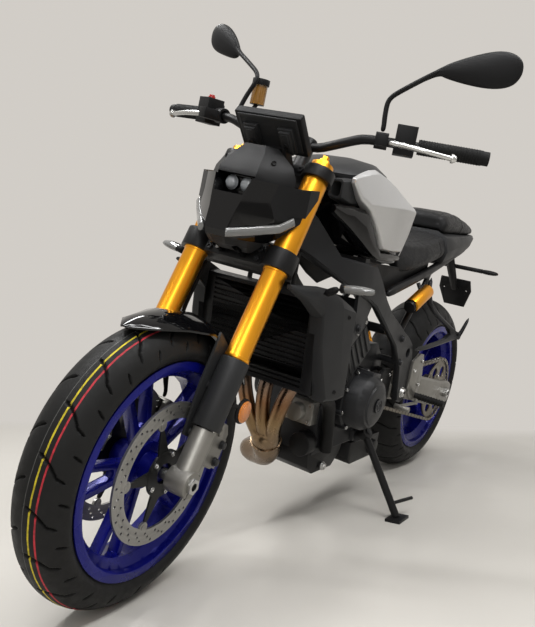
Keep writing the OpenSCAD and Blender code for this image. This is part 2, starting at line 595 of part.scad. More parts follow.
module fork_legs() color("#8f9296") on_fork() difference() {
    both_sides() {
        translate([tube_x, fork_half, 40]) cylinder(r = stanchion_r, h = 380);
        translate([tube_x, fork_half, -22]) cylinder(r = 25, h = 132);
        rotate([-90, 0, 0]) translate([0, 0, 84]) cylinder(r = 27, h = 48);
        translate([-92, fork_half - 9, 46]) cube([90, 18, 64]);
    }
    rotate([-90, 0, 0]) translate([0, 0, -200]) cylinder(r = axle_r + run_gap, h = 400);
    both_sides() translate([-2, 80, -40]) cube([4, 60, 40]);
}

module front_axle() color("#6c6f74") on_fork() rotate([-90, 0, 0]) difference() {
    union() {
        translate([0, 0, -136]) cylinder(r = axle_r, h = 272);
        translate([0, 0, 132 + seat_gap]) cylinder(r = 17, h = 7, $fn = 6);
    }
    translate([0, 0, -200]) cylinder(r = axle_bore_r, h = 400);
}

fender_r = 322;
function fender_ring(a, half, drop) = let (ys = [for (k = [0:6]) half * (k - 3) / 3]) concat(
    [for (y = ys) let (r = fender_r - drop * (y / half) * (y / half)) [r * cos(a), y, r * sin(a)]],
    [for (k = [6:-1:0]) let (y = ys[k], r = fender_r - skin - drop * (y / half) * (y / half)) [r * cos(a), y, r * sin(a)]]);
module front_fender() color("#0f1011") turned() translate(front_axle_at) {
    loft([fender_ring(150, 60, 22), fender_ring(138, 70, 26), fender_ring(122, 72, 28), fender_ring(104, 72, 28),
        fender_ring(88, 66, 24), fender_ring(74, 40, 12), fender_ring(67, 8, 2)]);
    rotate([0, -rake, 0]) both_sides() {
        side_plate([[-70, 268], [40, 300], [34, 190], [12, 84], [-20, 84], [-30, 190]], 70, 75.5);
        difference() {
            translate([tube_x, fork_half, 113]) cylinder(r = 31, h = 150);
            translate([tube_x, fork_half, 112]) cylinder(r = 28.4, h = 152);
            translate([tube_x - 70, fork_half - 50, 110]) cube([62, 100, 160]);
        }
        difference() {
            cross_rod(tube_x, 96, 9, 75, 82);
            translate([tube_x, fork_half, 0]) cylinder(r = 25 + seat_gap, h = 200);
        }
    }
}

module front_calipers() color("#84878b") on_fork() both_sides() difference() {
    union() {
        side_plate([[-126, 52], [-112, 42], [-72, 42], [-65, 52], [-65, 132], [-76, 143], [-110, 141], [-126, 124]], 44, 94.7);
        side_plate([[-134, 62], [-120, 58], [-120, 122], [-134, 114]], 58, 84);
        for (z = [66, 92, 118]) cross_rod(-96, z, 11, 90, 98);
        cross_rod(-90, 56, 7, 60, 102);
        cross_rod(-84, 132, 7, 60, 102);
    }
    translate([0, 54.5, 0]) rotate([-90, 0, 0]) cylinder(r = front_disc_r + 6, h = 15);
    translate([-92 - seat_gap, fork_half - 9 - seat_gap, 46 - seat_gap]) cube([120, 40, 64 + 2 * seat_gap]);
}

module brake_hoses() color("#131415") on_fork() both_sides()
    bar(concat([[-94, 76, 143.6]], curve([[-94, 76, 158], [-62, 88, 214], [-42, 92, 330], [-40, 91, 440]], 3),
        [[-40, 91, low_clamp_z - seat_gap]]), 5, 8);

bar_root = [1087, 195, 1041];
bar_tip = [1002, bar_half, 1047];
bar_way = unit(bar_tip - bar_root);
bar_length = norm(bar_tip - bar_root);
module handlebar() color("#1a1b1c") turned()
    bar(concat(
        [bar_tip, bar_root], curve([[1089, 170, 1038], [1091, 126, 1022], bar_mid + [0, 78, 2]], 3), [bar_mid + [0, 66, 0]],
        [bar_mid - [0, 66, 0]], curve([bar_mid + [0, -78, 2], [1091, -126, 1022], [1089, -170, 1038]], 3),
        [flip_y(bar_root), flip_y(bar_tip)]), bar_r, 12);

// Frame of one end of the handlebar: z runs out along the bar, x points down and y back
module on_bar() { turned() both_sides() translate(bar_root) rotate([0, acos(bar_way[2]), atan2(bar_way[1], bar_way[0])]) children(); }

module grips() color("#121213") on_bar() difference() {
    union() {
        translate([0, 0, 97]) cylinder(r = grip_r, h = bar_length - 97);
        translate([0, 0, bar_length]) cylinder(r = grip_r - 1, h = 14);
    }
    translate([0, 0, 80]) cylinder(r = bar_r + seat_gap, h = bar_length - 79);
}

module switchgear() color("#161718") on_bar() difference() {
    union() {
        translate([-38, -26, 46]) cube([62, 46, 44]);
        translate([0, 0, 4]) cylinder(r = 18, h = 28);
        translate([-9, -56, 6]) cube([24, 50, 26]);
    }
    cylinder(r = bar_r + seat_gap, h = 200);
}

module levers() color("#b5b8bb") on_bar() bar(concat([[6, -46, 32 + seat_gap]], curve([
    [6, -46, 44], [9, -53, 86], [13, -54, 126], [16, -47, 164], [16, -46, 172]], 3)),
    [for (i = [0:13]) i > 10 ? 8 : 7 - i * 0.15], 8);

module brake_reservoir() color("#c98a2d") turned() {
    translate([1046, -140, 1084]) {
        cylinder(r = 18, h = 46);
        translate([0, 0, 46]) cylinder(r = 21, h = 14);
    }
    rod([1046, -140, 1086], [1082.4, -145, 1039.1], 5);
}

function mirror_ring(c, wide, tall) = [for (k = [0:11]) c + [wide * cos(30 * k), 0, tall * sin(30 * k)]];
module mirrors() color("#161718") turned() {
    bar(concat([[1081, 210, 1059.8]], curve([[1081, 210, 1074], [1082, 207, 1104], [1082, 212, 1134], [1082, 256, 1166], [1076, 302, 1200]], 3)), 6, 8);
    loft([
        mirror_ring([1073, 298, 1198], 4, 8), mirror_ring([1062, 326, 1205], 12, 21), mirror_ring([1046, 366, 1214], 17, 34),
        mirror_ring([1032, 406, 1222], 17, 42), mirror_ring([1023, 438, 1225], 10, 35), mirror_ring([1018, 454, 1227], 3, 14)]);
    bar(concat([[1087, -163, 1048.6]], curve([[1085, -162, 1062], [1082, -149, 1100], [1078, -132, 1144], [1050, -182, 1178], [1018, -242, 1210]], 3)), 6, 8);
    loft([
        mirror_ring([1020, -236, 1206], 4, 8), mirror_ring([1014, -250, 1213], 12, 24), mirror_ring([1004, -286, 1234], 17, 38),
        mirror_ring([993, -326, 1245], 16, 39), mirror_ring([985, -350, 1248], 9, 27), mirror_ring([982, -358, 1249], 3, 10)]);
}

module display() color("#0e0f10") {
    turned() translate([1178, 0, 1015]) rotate([0, -44, 0]) translate([-50, -84, -10]) cube([100, 168, 20]);
    on_fork() both_sides() side_plate([
        [34 - axle_from_axis + seat_gap, 697], [34 - axle_from_axis + seat_gap, 719], [44, 738], [84, 752], [72, 728], [34, 700]], 34, 44);
}

// Headlamp cowl: rings at rising heights, from the left half's [x, y] points, rear first
function deck_ring(z, half) = concat(
    [for (p = half) [p[0], p[1], z]],
    [for (i = [len(half) - 1:-1:0]) [half[i][0], -half[i][1], z]]);
strip_path = [[1333, 30, 787], [1292, 64, 799], [1247, 103, 815], [1226, 123, 834]];
module lamp_recess(grow) loft([
    [[1258 - grow, 44, 906], [1258 - grow, -44, 906], [1258 - grow, -32, 871], [1258 - grow, 32, 871]],
    [[1345, 52, 913], [1345, -52, 913], [1345, -37, 864], [1345, 37, 864]]]);
module headlamp_cowl() color("#101113") {
    turned() difference() {
        union() {
            loft([
                deck_ring(777, [[1232, 20], [1238, 72], [1284, 58], [1325, 22]]),
                deck_ring(790, [[1228, 20], [1231, 92], [1283, 66], [1330, 27]]),
                deck_ring(832, [[1218, 20], [1214, 131], [1262, 95], [1317, 32]]),
                deck_ring(863, [[1214, 20], [1212, 136], [1272, 84], [1308, 39]]),
                deck_ring(903, [[1212, 20], [1211, 139], [1262, 90], [1297, 46]])]);
            loft([
                deck_ring(898, [[1213, 18], [1213, 101], [1252, 86], [1292, 45]]),
                deck_ring(920, [[1212, 18], [1211, 98], [1246, 84], [1286, 47]]),
                deck_ring(943, [[1210, 18], [1210, 86], [1231, 78], [1268, 40]]),
                deck_ring(962, [[1208, 18], [1208, 60], [1222, 54], [1250, 34]]),
                deck_ring(977, [[1206, 16], [1206, 40], [1215, 36], [1238, 25]])]);
            both_sides() loft([
                [[1238, 104, 842], [1238, 112, 842], [1238, 112, 898], [1238, 104, 898]],
                [[1211, 133.7, 846], [1211, 139, 846], [1211, 139, 905], [1211, 133.7, 905]],
                [[1168, 133.7, 889], [1168, 138, 889], [1168, 138, 908], [1168, 133.7, 908]]]);
            translate(front_axle_at) rotate([0, -rake, 0]) both_sides()
                translate([40 - axle_from_axis + seat_gap, 22, 476]) cube([48, 12, 36]);
        }
        lamp_recess(0);
        both_sides() bar(strip_path, 6.6, 8);
        translate(front_axle_at) rotate([0, -rake, 0]) both_sides()
            translate([tube_x, fork_half, 300]) cylinder(r = tube_r + 2 + seat_gap, h = 450);
    }
}

module cowl_chin() color("#3b3d40") turned() difference() {
    loft([
        deck_ring(777 - seat_gap, [[1236, 20], [1240, 70], [1284, 55], [1319, 20]]),
        deck_ring(762, [[1240, 20], [1243, 60], [1272, 50], [1302, 16]]),
        deck_ring(750, [[1243, 20], [1245, 46], [1256, 43], [1270, 12]])]);
    translate(front_axle_at) rotate([0, -rake, 0]) both_sides()
        translate([30 - axle_from_axis, 22 - seat_gap, 476 - seat_gap]) cube([58 + 2 * seat_gap, 12 + 2 * seat_gap, 40]);
}

module lamp_strips() color("#e8ebee") turned() both_sides() bar(strip_path, 6, 8);

module headlamp() color("#d8dcdf") turned() translate([1258 + seat_gap, 0, 889]) rotate([0, 90, 0]) {
    linear_extrude(4) polygon([[-15, -41], [-15, 41], [15, 30], [15, -30]]);
    for (y = [-19, 19]) translate([0, y, 3]) rotate_extrude($fn = 48)
        polygon([[0, 0], [16, 0], [16, 10], [14, 12], [13.2, 14], [10.5, 17], [6, 19.2], [0, 20]]);
}

// Wheels, in the hub's own frame: z out along the axle to the left
module tyre(ring, crown, half, bead) rotate_extrude($fn = 96) difference() {
    intersection() {
        translate([ring, 0]) circle(r = crown, $fn = 72);
        polygon([
            [bead_r + seat_gap, seat_gap - half], [bead_r + 14, seat_gap - half], [bead_r + 34, -bead], [400, -bead],
            [400, bead], [bead_r + 34, bead], [bead_r + 14, half - seat_gap], [bead_r + seat_gap, half - seat_gap]]);
    }
    intersection() {
        translate([ring, 0]) circle(r = crown - 11, $fn = 72);
        polygon([
            [bead_r + 16, 14 - half], [bead_r + 36, 12 - bead], [400, 12 - bead],
            [400, bead - 12], [bead_r + 36, bead - 12], [bead_r + 16, half - 14]]);
    }
    translate([bead_r - 40, 14 - half]) square([70, 2 * half - 28]);
}

module rim(half, hub_half, spoke_half) difference() {
    union() {
        rotate_extrude($fn = 96) polygon([
            [bead_r, -half], [bead_r, -half + 14], [bead_r - 18, -half + 26], [bead_r - 18, half - 26], [bead_r, half - 14],
            [bead_r, half], [bead_r + 13, half], [bead_r + 13, half + 4], [bead_r - 6, half + 4], [bead_r - 8, half - 12],
            [bead_r - 26, half - 25], [bead_r - 26, 25 - half], [bead_r - 8, 12 - half], [bead_r - 6, -half - 4],
            [bead_r + 13, -half - 4], [bead_r + 13, -half]]);
        translate([0, 0, -hub_half]) cylinder(r = 31, h = 2 * hub_half);
        translate([0, 0, -spoke_half - 6]) cylinder(r = 50, h = 2 * spoke_half + 12);
        for (a = [0:72:359]) {
            rotate(a) translate([0, 0, -spoke_half]) linear_extrude(2 * spoke_half)
                polygon([[40, 3], [bead_r - 22, 26], [bead_r - 22, 38], [90, 24], [40, 17]]);
            rotate(a) translate([0, 0, 0.6 - spoke_half]) linear_extrude(2 * spoke_half - 1.2)
                polygon([[40, -3], [40, -17], [90, -24], [bead_r - 22, -38], [bead_r - 22, -26]]);
            rotate(a) translate([0, 0, 4 - spoke_half]) linear_extrude(2 * spoke_half - 8)
                polygon([[42, -12], [92, -16], [86, 0], [92, 16], [42, 12]]);
        }
    }
    translate([0, 0, -200]) cylinder(r = axle_r + run_gap, h = 400);
}

module front_tyre() color("#161617") on_front_hub() tyre(front_ring, front_crown_r, front_rim_half, 61);
module rear_tyre() color("#161617") on_rear_hub() tyre(rear_ring, rear_crown_r, rear_rim_half, 90);
module front_rim() color("#16306e") on_front_hub() rim(front_rim_half, 56, 13);
module rear_rim() color("#16306e") on_rear_hub() rim(rear_rim_half, 60, 16);

module disc(r, inner, thick) difference() {
    union() {
        difference() {
            cylinder(r = r, h = thick, $fn = 96);
            translate([0, 0, -1]) cylinder(r = inner, h = thick + 2, $fn = 96);
        }
        for (a = [0:72:359]) rotate(a) {
            translate([inner - 3, 0, 0.2]) cylinder(r = 12, h = thick - 0.4, $fn = 24);
            translate([inner - 4.5, 0, -0.8]) cylinder(r = 6.5, h = thick + 1.6, $fn = 24);
        }
    }
    for (a = [0:15:359], k = [0:2]) rotate(a + 5 * k + 3) translate([inner + 9 + k * (r - inner - 17) / 2, 0, -1])
        cylinder(r = 2.8, h = thick + 2, $fn = 16);
}

module carrier(inner, thick) difference() {
    union() {
        for (a = [0:72:359]) rotate(a) translate([0, 0, 0.5]) linear_extrude(thick - 1)
            polygon([[40, -16], [inner - 22, -6], [inner - 15.3, -4], [inner - 15.3, 4], [inner - 22, 6], [40, 16]]);
        cylinder(r = 50, h = thick);
    }
    translate([0, 0, -1]) cylinder(r = axle_r + 10, h = thick + 2);
}

disc_side = 62;
module front_discs() color("#9a9da0") on_front_hub() for (side = [-1, 1]) translate([0, 0, side * disc_side - 2.5])
    disc(front_disc_r, front_disc_r - 33, 5);

module front_carriers() color("#1b1c1e") on_front_hub() for (side = [-1, 1]) {
    translate([0, 0, side * disc_side - 2.5]) carrier(front_disc_r - 33, 5);
    translate([0, 0, side > 0 ? 56 + seat_gap : -60 - seat_gap]) difference() {
        cylinder(r = 30, h = 4);
        translate([0, 0, -1]) cylinder(r = axle_r + 10, h = 8);
    }
}

rear_disc_side = -86;
module rear_disc() color("#9a9da0") on_rear_hub() translate([0, 0, rear_disc_side - 2.5]) disc(rear_disc_r, rear_disc_r - 32, 5);

module rear_carrier() color("#1b1c1e") on_rear_hub() {
    translate([0, 0, rear_disc_side - 2.5]) carrier(rear_disc_r - 32, 5);
    translate([0, 0, rear_disc_side + 2]) difference() {
        cylinder(r = 30, h = -rear_disc_side - 62 - seat_gap);
        translate([0, 0, -1]) cylinder(r = axle_r + 10, h = 60);
    }
}

module rear_sprocket() color("#6d6f72") on_rear_hub() difference() {
    union() {
        translate([0, 0, chain_y - 3]) cylinder(r = 107, h = 6);
        translate([0, 0, 60 + seat_gap]) cylinder(r = 44, h = chain_y - 62);
    }
    translate([0, 0, 0]) cylinder(r = axle_r + run_gap, h = 200);
    for (a = [0:60:359]) rotate(a) translate([72, 0, 0]) cylinder(r = 20, h = 200);
}

// Side stand, its foot flat on the floor after the lean
stand_pivot = [598, 122, 258];
foot_at = [626, stand_reach * cos(lean), stand_reach * sin(lean)];
stand_fold_way = [-0.985, 0.13, 0.05];
stand_axis = unit(cross(foot_at - stand_pivot, stand_fold_way));
module on_foot() { translate(foot_at) rotate([lean, 0, 0]) children(); }
module side_stand() color("#1a1b1c") leaned() {
    difference() {
        union() {
            rod(stand_pivot - stand_axis * 12, stand_pivot + stand_axis * 12, 20);
            rod(stand_pivot + unit(foot_at - stand_pivot) * 12, foot_at + [0, 0, 8], stand_r);
        }
        rod(stand_pivot - stand_axis * 20, stand_pivot + stand_axis * 20, 8 + run_gap);
    }
    on_foot() translate([-34, -18, 0]) cube([68, 44, 8]);
    rod(foot_at + [-8, -20, 40], foot_at + [-70, 10, 52], 5);
}

frame();
subframe();
swingarm();
rear_axle();
crankcase();
cylinder_block();
oil_pan();
engine_covers();
sprocket_cover();
oil_cooler();
exhaust_headers();
muffler();
radiator();
radiator_shrouds();
indicators();
fuel_tank();
tank_cover();
fuel_cap();
tank_panels();
intake_panels();
rider_seat();
passenger_seat();
tail_cowl();
tail_lamp();
plate_holder();
rear_shock();
shock_reservoir();
footrests();
passenger_footrests();
drive_chain();
rear_caliper();
fork_clamps();
fork_tubes();
fork_legs();
front_axle();
front_fender();
front_calipers();
brake_hoses();
handlebar();
grips();
switchgear();
levers();
brake_reservoir();
mirrors();
display();
headlamp_cowl();
cowl_chin();
lamp_strips();
headlamp();
front_tyre();
front_rim();
front_discs();
front_carriers();
rear_tyre();
rear_rim();
rear_disc();
rear_carrier();
rear_sprocket();
side_stand();
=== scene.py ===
import json
import math

import bpy
from bpy.props import FloatProperty, FloatVectorProperty, PointerProperty
from mathutils import Matrix, Vector

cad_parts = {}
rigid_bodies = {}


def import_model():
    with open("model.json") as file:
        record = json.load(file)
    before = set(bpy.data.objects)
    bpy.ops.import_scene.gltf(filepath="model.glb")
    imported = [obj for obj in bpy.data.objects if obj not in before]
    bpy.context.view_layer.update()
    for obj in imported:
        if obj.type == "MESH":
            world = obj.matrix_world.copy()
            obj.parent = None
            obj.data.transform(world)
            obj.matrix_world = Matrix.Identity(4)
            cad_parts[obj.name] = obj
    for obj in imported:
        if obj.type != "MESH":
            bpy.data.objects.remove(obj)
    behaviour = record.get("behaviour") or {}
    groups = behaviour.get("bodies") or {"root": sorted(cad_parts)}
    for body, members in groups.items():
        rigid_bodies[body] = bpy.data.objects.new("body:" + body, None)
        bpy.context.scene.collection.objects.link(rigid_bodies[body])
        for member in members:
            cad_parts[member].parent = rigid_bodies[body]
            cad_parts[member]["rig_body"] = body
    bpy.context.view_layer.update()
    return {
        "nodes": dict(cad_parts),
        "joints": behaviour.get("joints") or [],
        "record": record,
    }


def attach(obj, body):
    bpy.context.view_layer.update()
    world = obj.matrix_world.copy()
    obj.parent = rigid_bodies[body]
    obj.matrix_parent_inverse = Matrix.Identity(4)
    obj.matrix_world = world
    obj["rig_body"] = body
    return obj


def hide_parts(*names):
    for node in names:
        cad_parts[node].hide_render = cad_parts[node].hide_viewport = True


bl_info = {
    "name": "Parked standard motorcycle",
    "version": (1, 0, 0),
    "blender": (4, 5, 0),
    "location": "View3D > Sidebar > Motorcycle",
    "description": "Finishes, soft seats, tyres and fine pieces for a standard motorcycle",
    "category": "Object",
}

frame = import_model()

MM = 0.001
# The machine's own measures, upright, in millimetres
RAKE = math.radians(24.7)
REAR_AXLE_HEIGHT = 316.93
FRONT_AXLE = Vector((1430.512, 0.0, 300.134))
JOINTS = {joint["name"]: joint for joint in frame["joints"]}
SLOTS = {part["node"]: part["material_slot"] for part in frame["record"]["subparts"]}


def axes_at(origin, across, up):
    """A frame whose y runs across and whose z runs up, with its origin in row metres."""
    ahead = across.cross(up)
    turn = Matrix((ahead, across, up)).transposed().to_4x4()
    return Matrix.Translation(origin) @ turn


def machine_frame():
    """The machine's own frame, upright, from the rear axle's joint."""
    joint = JOINTS["rear_wheel_spin"]
    across = Vector(joint["axis"]).normalized()
    up = Vector((1.0, 0.0, 0.0)).cross(across)
    floor_line = Vector(joint["pos_m"]) - up * (REAR_AXLE_HEIGHT * MM)
    return axes_at(floor_line, across, up)


def fork_frame():
    """The fork's frame: z along the tubes from the front axle."""
    wheel = JOINTS["front_wheel_spin"]
    across = Vector(wheel["axis"]).normalized()
    up = Vector(JOINTS["steering"]["axis"]).normalized()
    return axes_at(Vector(wheel["pos_m"]), across, up)


MACHINE = machine_frame()
FORK = fork_frame()
TURNED = FORK @ Matrix.Rotation(RAKE, 4, "Y") @ Matrix.Translation(FRONT_AXLE * -MM)
FRONT_HUB = TURNED @ Matrix.Translation(FRONT_AXLE * MM)
REAR_HUB = MACHINE @ Matrix.Translation((0.0, 0.0, REAR_AXLE_HEIGHT * MM))


def spot(frame_matrix, x, y, z):
    """A point given in millimetres of one of the frames above, in row metres."""
    return frame_matrix @ (Vector((x, y, z)) * MM)


def swatch(name, description, default):
    """A colour that a user may change."""
    return FloatVectorProperty(name=name, description=description, default=default,
                               size=3, min=0.0, max=1.0, subtype="COLOR")


def length(name, description, default):
    """A length in metres that a user may change."""
    return FloatProperty(name=name, description=description, default=default, unit="LENGTH")


class MotorcycleColours(bpy.types.PropertyGroup):
    """Paint and material colours"""

    frame_grey: swatch("Frame grey", "Satin paint of the frame", (0.016, 0.0165, 0.018))
    metal_black: swatch("Metal black", "Satin black of bars, clamps and stand", (0.006, 0.006, 0.0065))
    casting_silver: swatch("Cast aluminium", "Bare castings of fork feet, calipers and footrests",
                           (0.235, 0.228, 0.21))
    casting_dark: swatch("Dark casting", "Coated castings of the engine", (0.016, 0.0165, 0.018))
    steel: swatch("Bright steel", "Axles, rods and bolts", (0.52, 0.52, 0.51))
    fork_gold: swatch("Fork gold", "Anodised gold of the outer fork tubes", (0.83, 0.36, 0.025))
    wheel_blue: swatch("Wheel blue", "Cobalt blue of both wheels", (0.003, 0.0045, 0.160))
    panel_silver: swatch("Panel silver", "Satin silver of the tank's side panels", (0.52, 0.52, 0.52))
    gloss_black: swatch("Gloss black", "Gloss panels, headlamp cowl and front fender",
                        (0.002, 0.002, 0.0024))
    plastic_black: swatch("Plastic black", "Grained black plastic", (0.008, 0.008, 0.0085))
    plastic_grey: swatch("Plastic grey", "Dark grey moulded shrouds and chin", (0.020, 0.0205, 0.0215))
    seat_black: swatch("Seat cover", "Grained black seat cover", (0.006, 0.006, 0.0066))
    rubber_black: swatch("Rubber", "Tyres, grips and hoses", (0.0075, 0.0075, 0.0075))
    amber: swatch("Amber", "Reflectors and rear indicator lenses", (0.78, 0.24, 0.015))
    stripe_yellow: swatch("Yellow stripe", "Yellow line round a new tyre", (0.62, 0.50, 0.03))
    stripe_red: swatch("Red stripe", "Red line round a new tyre", (0.52, 0.035, 0.05))
    floor_pale: swatch("Floor", "Plain pale floor", (0.60, 0.575, 0.53))
    wall_pale: swatch("Backdrop", "Plain pale background", (0.64, 0.61, 0.57))


class MotorcycleSizes(bpy.types.PropertyGroup):
    """Sizes of the fine pieces"""

    front_ring: length("Front tyre ring", "Radius of the circle through the front crown's centre", 0.238)
    front_crown: length("Front crown", "Radius of the front tyre's crown", 0.062)
    rear_ring: length("Rear tyre ring", "Radius of the circle through the rear crown's centre", 0.219)
    rear_crown: length("Rear crown", "Radius of the rear tyre's crown", 0.096)
    tread_depth: length("Tread depth", "Depth of the grooves cut in the tyres", 0.0045)
    seat_voxel: length("Seat mesh size", "Cell of the remeshed seat pads", 0.006)
    seat_swell: length("Seat swell", "Most that a seat pad's cover may move", 0.005)
    lamp_power: FloatProperty(
        name="Lamp power", description="Power of each soft strip lamp",
        default=44.0, unit="POWER")


def colours():
    return bpy.context.scene.motorcycle_colours


def sizes():
    return bpy.context.scene.motorcycle_sizes


# Edges sharper than this, in degrees, are rounded and shaded as edges
SHARP = 40.0


# Selection and mesh helpers

def pick(piece):
    """Selects one piece alone and makes it active."""
    bpy.ops.object.select_all(action="DESELECT")
    piece.select_set(True)
    bpy.context.view_layer.objects.active = piece


def edit_all(piece):
    """Opens one piece in edit mode with everything selected."""
    pick(piece)
    bpy.ops.object.mode_set(mode="EDIT")
    bpy.ops.mesh.select_all(action="SELECT")


def close_edit():
    bpy.ops.object.mode_set(mode="OBJECT")


def apply_modifier(piece, kind, **values):
    """Adds one modifier, sets its values and applies it."""
    pick(piece)
    modifier = piece.modifiers.new(kind.title(), kind)
    for key, value in values.items():
        setattr(modifier, key, value)
    bpy.ops.object.modifier_apply(modifier=modifier.name)


def smooth_by_angle(piece, degrees):
    pick(piece)
    bpy.ops.object.shade_smooth_by_angle(angle=math.radians(degrees))


def round_edges(piece, width, segments=2):
    """Bevels a piece's sharp edges by a width in metres."""
    apply_modifier(piece, "BEVEL", width=width, segments=segments, limit_method="ANGLE",
                   angle_limit=math.radians(SHARP))


def face_outwards(piece):
    edit_all(piece)
    bpy.ops.mesh.normals_make_consistent(inside=False)
    close_edit()


def settle(piece, material, body, slot, *nodes):
    """Gives a finished piece its material and its body, and hides the nodes it stands for; the slot is not
    used.
    """
    piece.data.materials.clear()
    piece.data.materials.append(material)
    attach(piece, body)
    if nodes:
        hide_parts(*nodes)


def copied(node, name):
    """A merged copy of a node's mesh, with flat areas made whole again."""
    mesh = frame["nodes"][node].data.copy()
    piece = bpy.data.objects.new(name, mesh)
    bpy.context.scene.collection.objects.link(piece)
    edit_all(piece)
    bpy.ops.mesh.customdata_custom_splitnormals_clear()
    bpy.ops.mesh.remove_doubles(threshold=0.00002)
    bpy.ops.mesh.dissolve_limited(angle_limit=math.radians(0.6))
    bpy.ops.mesh.tris_convert_to_quads(face_threshold=math.radians(50.0),
                                       shape_threshold=math.radians(60.0))
    close_edit()
    return piece


def facing(frame_matrix, place, way):
    """A matrix at a point in millimetres of a frame, with its z along a way in that frame."""
    out = (frame_matrix.to_3x3() @ Vector(way)).normalized()
    turn = out.to_track_quat("Z", "Y").to_matrix().to_4x4()
    return Matrix.Translation(spot(frame_matrix, *place)) @ turn


def both(places):
    """Each place and way, and its mirror on the machine's other side."""
    rows = []
    for place, way in places:
        rows.append((place, way))
        rows.append(((place[0], -place[1], place[2]), (way[0], -way[1], way[2])))
    return rows


def begin(add, name, **values):
    """Adds a primitive with nothing else selected and puts its place in its mesh."""
    bpy.ops.object.select_all(action="DESELECT")
    add(**values)
    piece = bpy.context.active_object
    piece.name = name
    pick(piece)
    bpy.ops.object.transform_apply(location=True, rotation=True, scale=True)
    return piece


def begin_ring(name, points, thick, radius):
    """A circle of points, stood on edge beside z at a radius, to be swept round z."""
    return begin(bpy.ops.mesh.primitive_circle_add, name, vertices=points, radius=thick,
                 location=(radius, 0.0, 0.0), rotation=(math.pi / 2.0, 0.0, 0.0))


def select_faces(piece, test):
    """Selects the faces whose middle and normal pass a test, and opens edit mode on them."""
    pick(piece)
    bpy.ops.object.mode_set(mode="EDIT")
    bpy.ops.mesh.select_mode(type="FACE")
    bpy.ops.mesh.select_all(action="DESELECT")
    bpy.ops.object.mode_set(mode="OBJECT")
    for face in piece.data.polygons:
        face.select = test(face.center, face.normal)
    bpy.ops.object.mode_set(mode="EDIT")


def turned_round(radius, steps, sides, name):
    """A turned piece on z: a cylinder whose top is stepped by (inset, rise) in metres."""
    top = steps[0][1]
    piece = begin(bpy.ops.mesh.primitive_cylinder_add, name, vertices=sides, radius=radius, depth=top,
                  location=(0.0, 0.0, top / 2.0))
    for inset, rise in steps[1:]:
        select_faces(piece, lambda middle, normal: normal.z > 0.9 and abs(middle.z - top) < 1e-6)
        bpy.ops.mesh.inset(thickness=inset)
        bpy.ops.mesh.extrude_region_move(TRANSFORM_OT_translate={"value": (0.0, 0.0, rise)})
        close_edit()
        top += rise
    round_edges(piece, radius * 0.08)
    smooth_by_angle(piece, SHARP)
    return piece


def scatter(source, name, places):
    """Copies a modelled piece to each matrix and joins the copies into one piece."""
    copies = []
    for place in places:
        mesh = source.data.copy()
        mesh.transform(place)
        if place.to_3x3().determinant() < 0.0:
            mesh.flip_normals()
        copy = bpy.data.objects.new(name, mesh)
        bpy.context.scene.collection.objects.link(copy)
        copies.append(copy)
    bpy.data.objects.remove(source)
    pick(copies[0])
    for copy in copies[1:]:
        copy.select_set(True)
    if len(copies) > 1:
        bpy.ops.object.join()
    copies[0].name = name
    return copies[0]


def lay_out(source, name, places, body, slot):
    """Copies a modelled piece to each matrix and finishes the joined copies."""
    settle(scatter(source, name, places), MATERIALS[slot], body, slot)


def faced(frame_matrix, places):
    """Matrices for rows of place and way in a frame's millimetres."""
    return [facing(frame_matrix, place, way) for place, way in places]


def pair(frame_matrix, place, way):
    """Matrices for one place and its mirror on the machine's other side."""
    return faced(frame_matrix, both(((place, way),)))


def socket_bolt(radius, height):
    """A cap screw with a sunk socket."""
    return turned_round(radius, ((0.0, height), (radius * 0.42, -height * 0.55)), 20, "bolt")


def hex_bolt(radius, height):
    """A bolt head standing for a hexagon, turned round with 24 sides, on a wider round washer."""
    return turned_round(radius * 1.25,
                        ((0.0, height * 0.3), (radius * 0.25, height * 0.8), (radius * 0.3, height * 0.15)),
                        24, "hex_bolt")


# Finished materials by name
MATERIALS = {}


# Shader helpers

def shader_node(tree, kind, **values):
    made = tree.nodes.new(kind)
    for key, value in values.items():
        setattr(made, key, value)
    return made


def plug(tree, value, socket):
    """Links a socket, or sets a plain value."""
    if isinstance(value, bpy.types.NodeSocket):
        tree.links.new(value, socket)
    else:
        socket.default_value = value


def calc(tree, operation, first, second=0.0, third=0.0):
    made = shader_node(tree, "ShaderNodeMath", operation=operation)
    plug(tree, first, made.inputs[0])
    plug(tree, second, made.inputs[1])
    plug(tree, third, made.inputs[2])
    return made.outputs[0]


def cloud(tree, place, scale, detail=3.0):
    made = shader_node(tree, "ShaderNodeTexNoise")
    plug(tree, place, made.inputs["Vector"])
    made.inputs["Scale"].default_value = scale
    made.inputs["Detail"].default_value = detail
    return made.outputs["Fac"]


def spread(tree, fac, low, high, start=0.3, end=0.7):
    """Spreads a factor from start..end to low..high, with an eased ramp."""
    made = shader_node(tree, "ShaderNodeMapRange", interpolation_type="SMOOTHSTEP")
    plug(tree, fac, made.inputs["Value"])
    made.inputs["From Min"].default_value = start
    made.inputs["From Max"].default_value = end
    made.inputs["To Min"].default_value = low
    made.inputs["To Max"].default_value = high
    return made.outputs["Result"]


def mix_colour(tree, fac, first, second):
    made = shader_node(tree, "ShaderNodeMix", data_type="RGBA")
    plug(tree, fac, made.inputs[0])
    plug(tree, first, made.inputs[6])
    plug(tree, second, made.inputs[7])
    return made.outputs[2]


def rgba(colour, scale=1.0):
    return tuple(min(1.0, part * scale) for part in colour) + (1.0,)


def new_material(name):
    """A new node material, kept in MATERIALS under its name."""
    material = bpy.data.materials.new(name)
    material.use_nodes = True
    tree = material.node_tree
    MATERIALS[name] = material
    return material, tree, tree.nodes["Principled BSDF"]


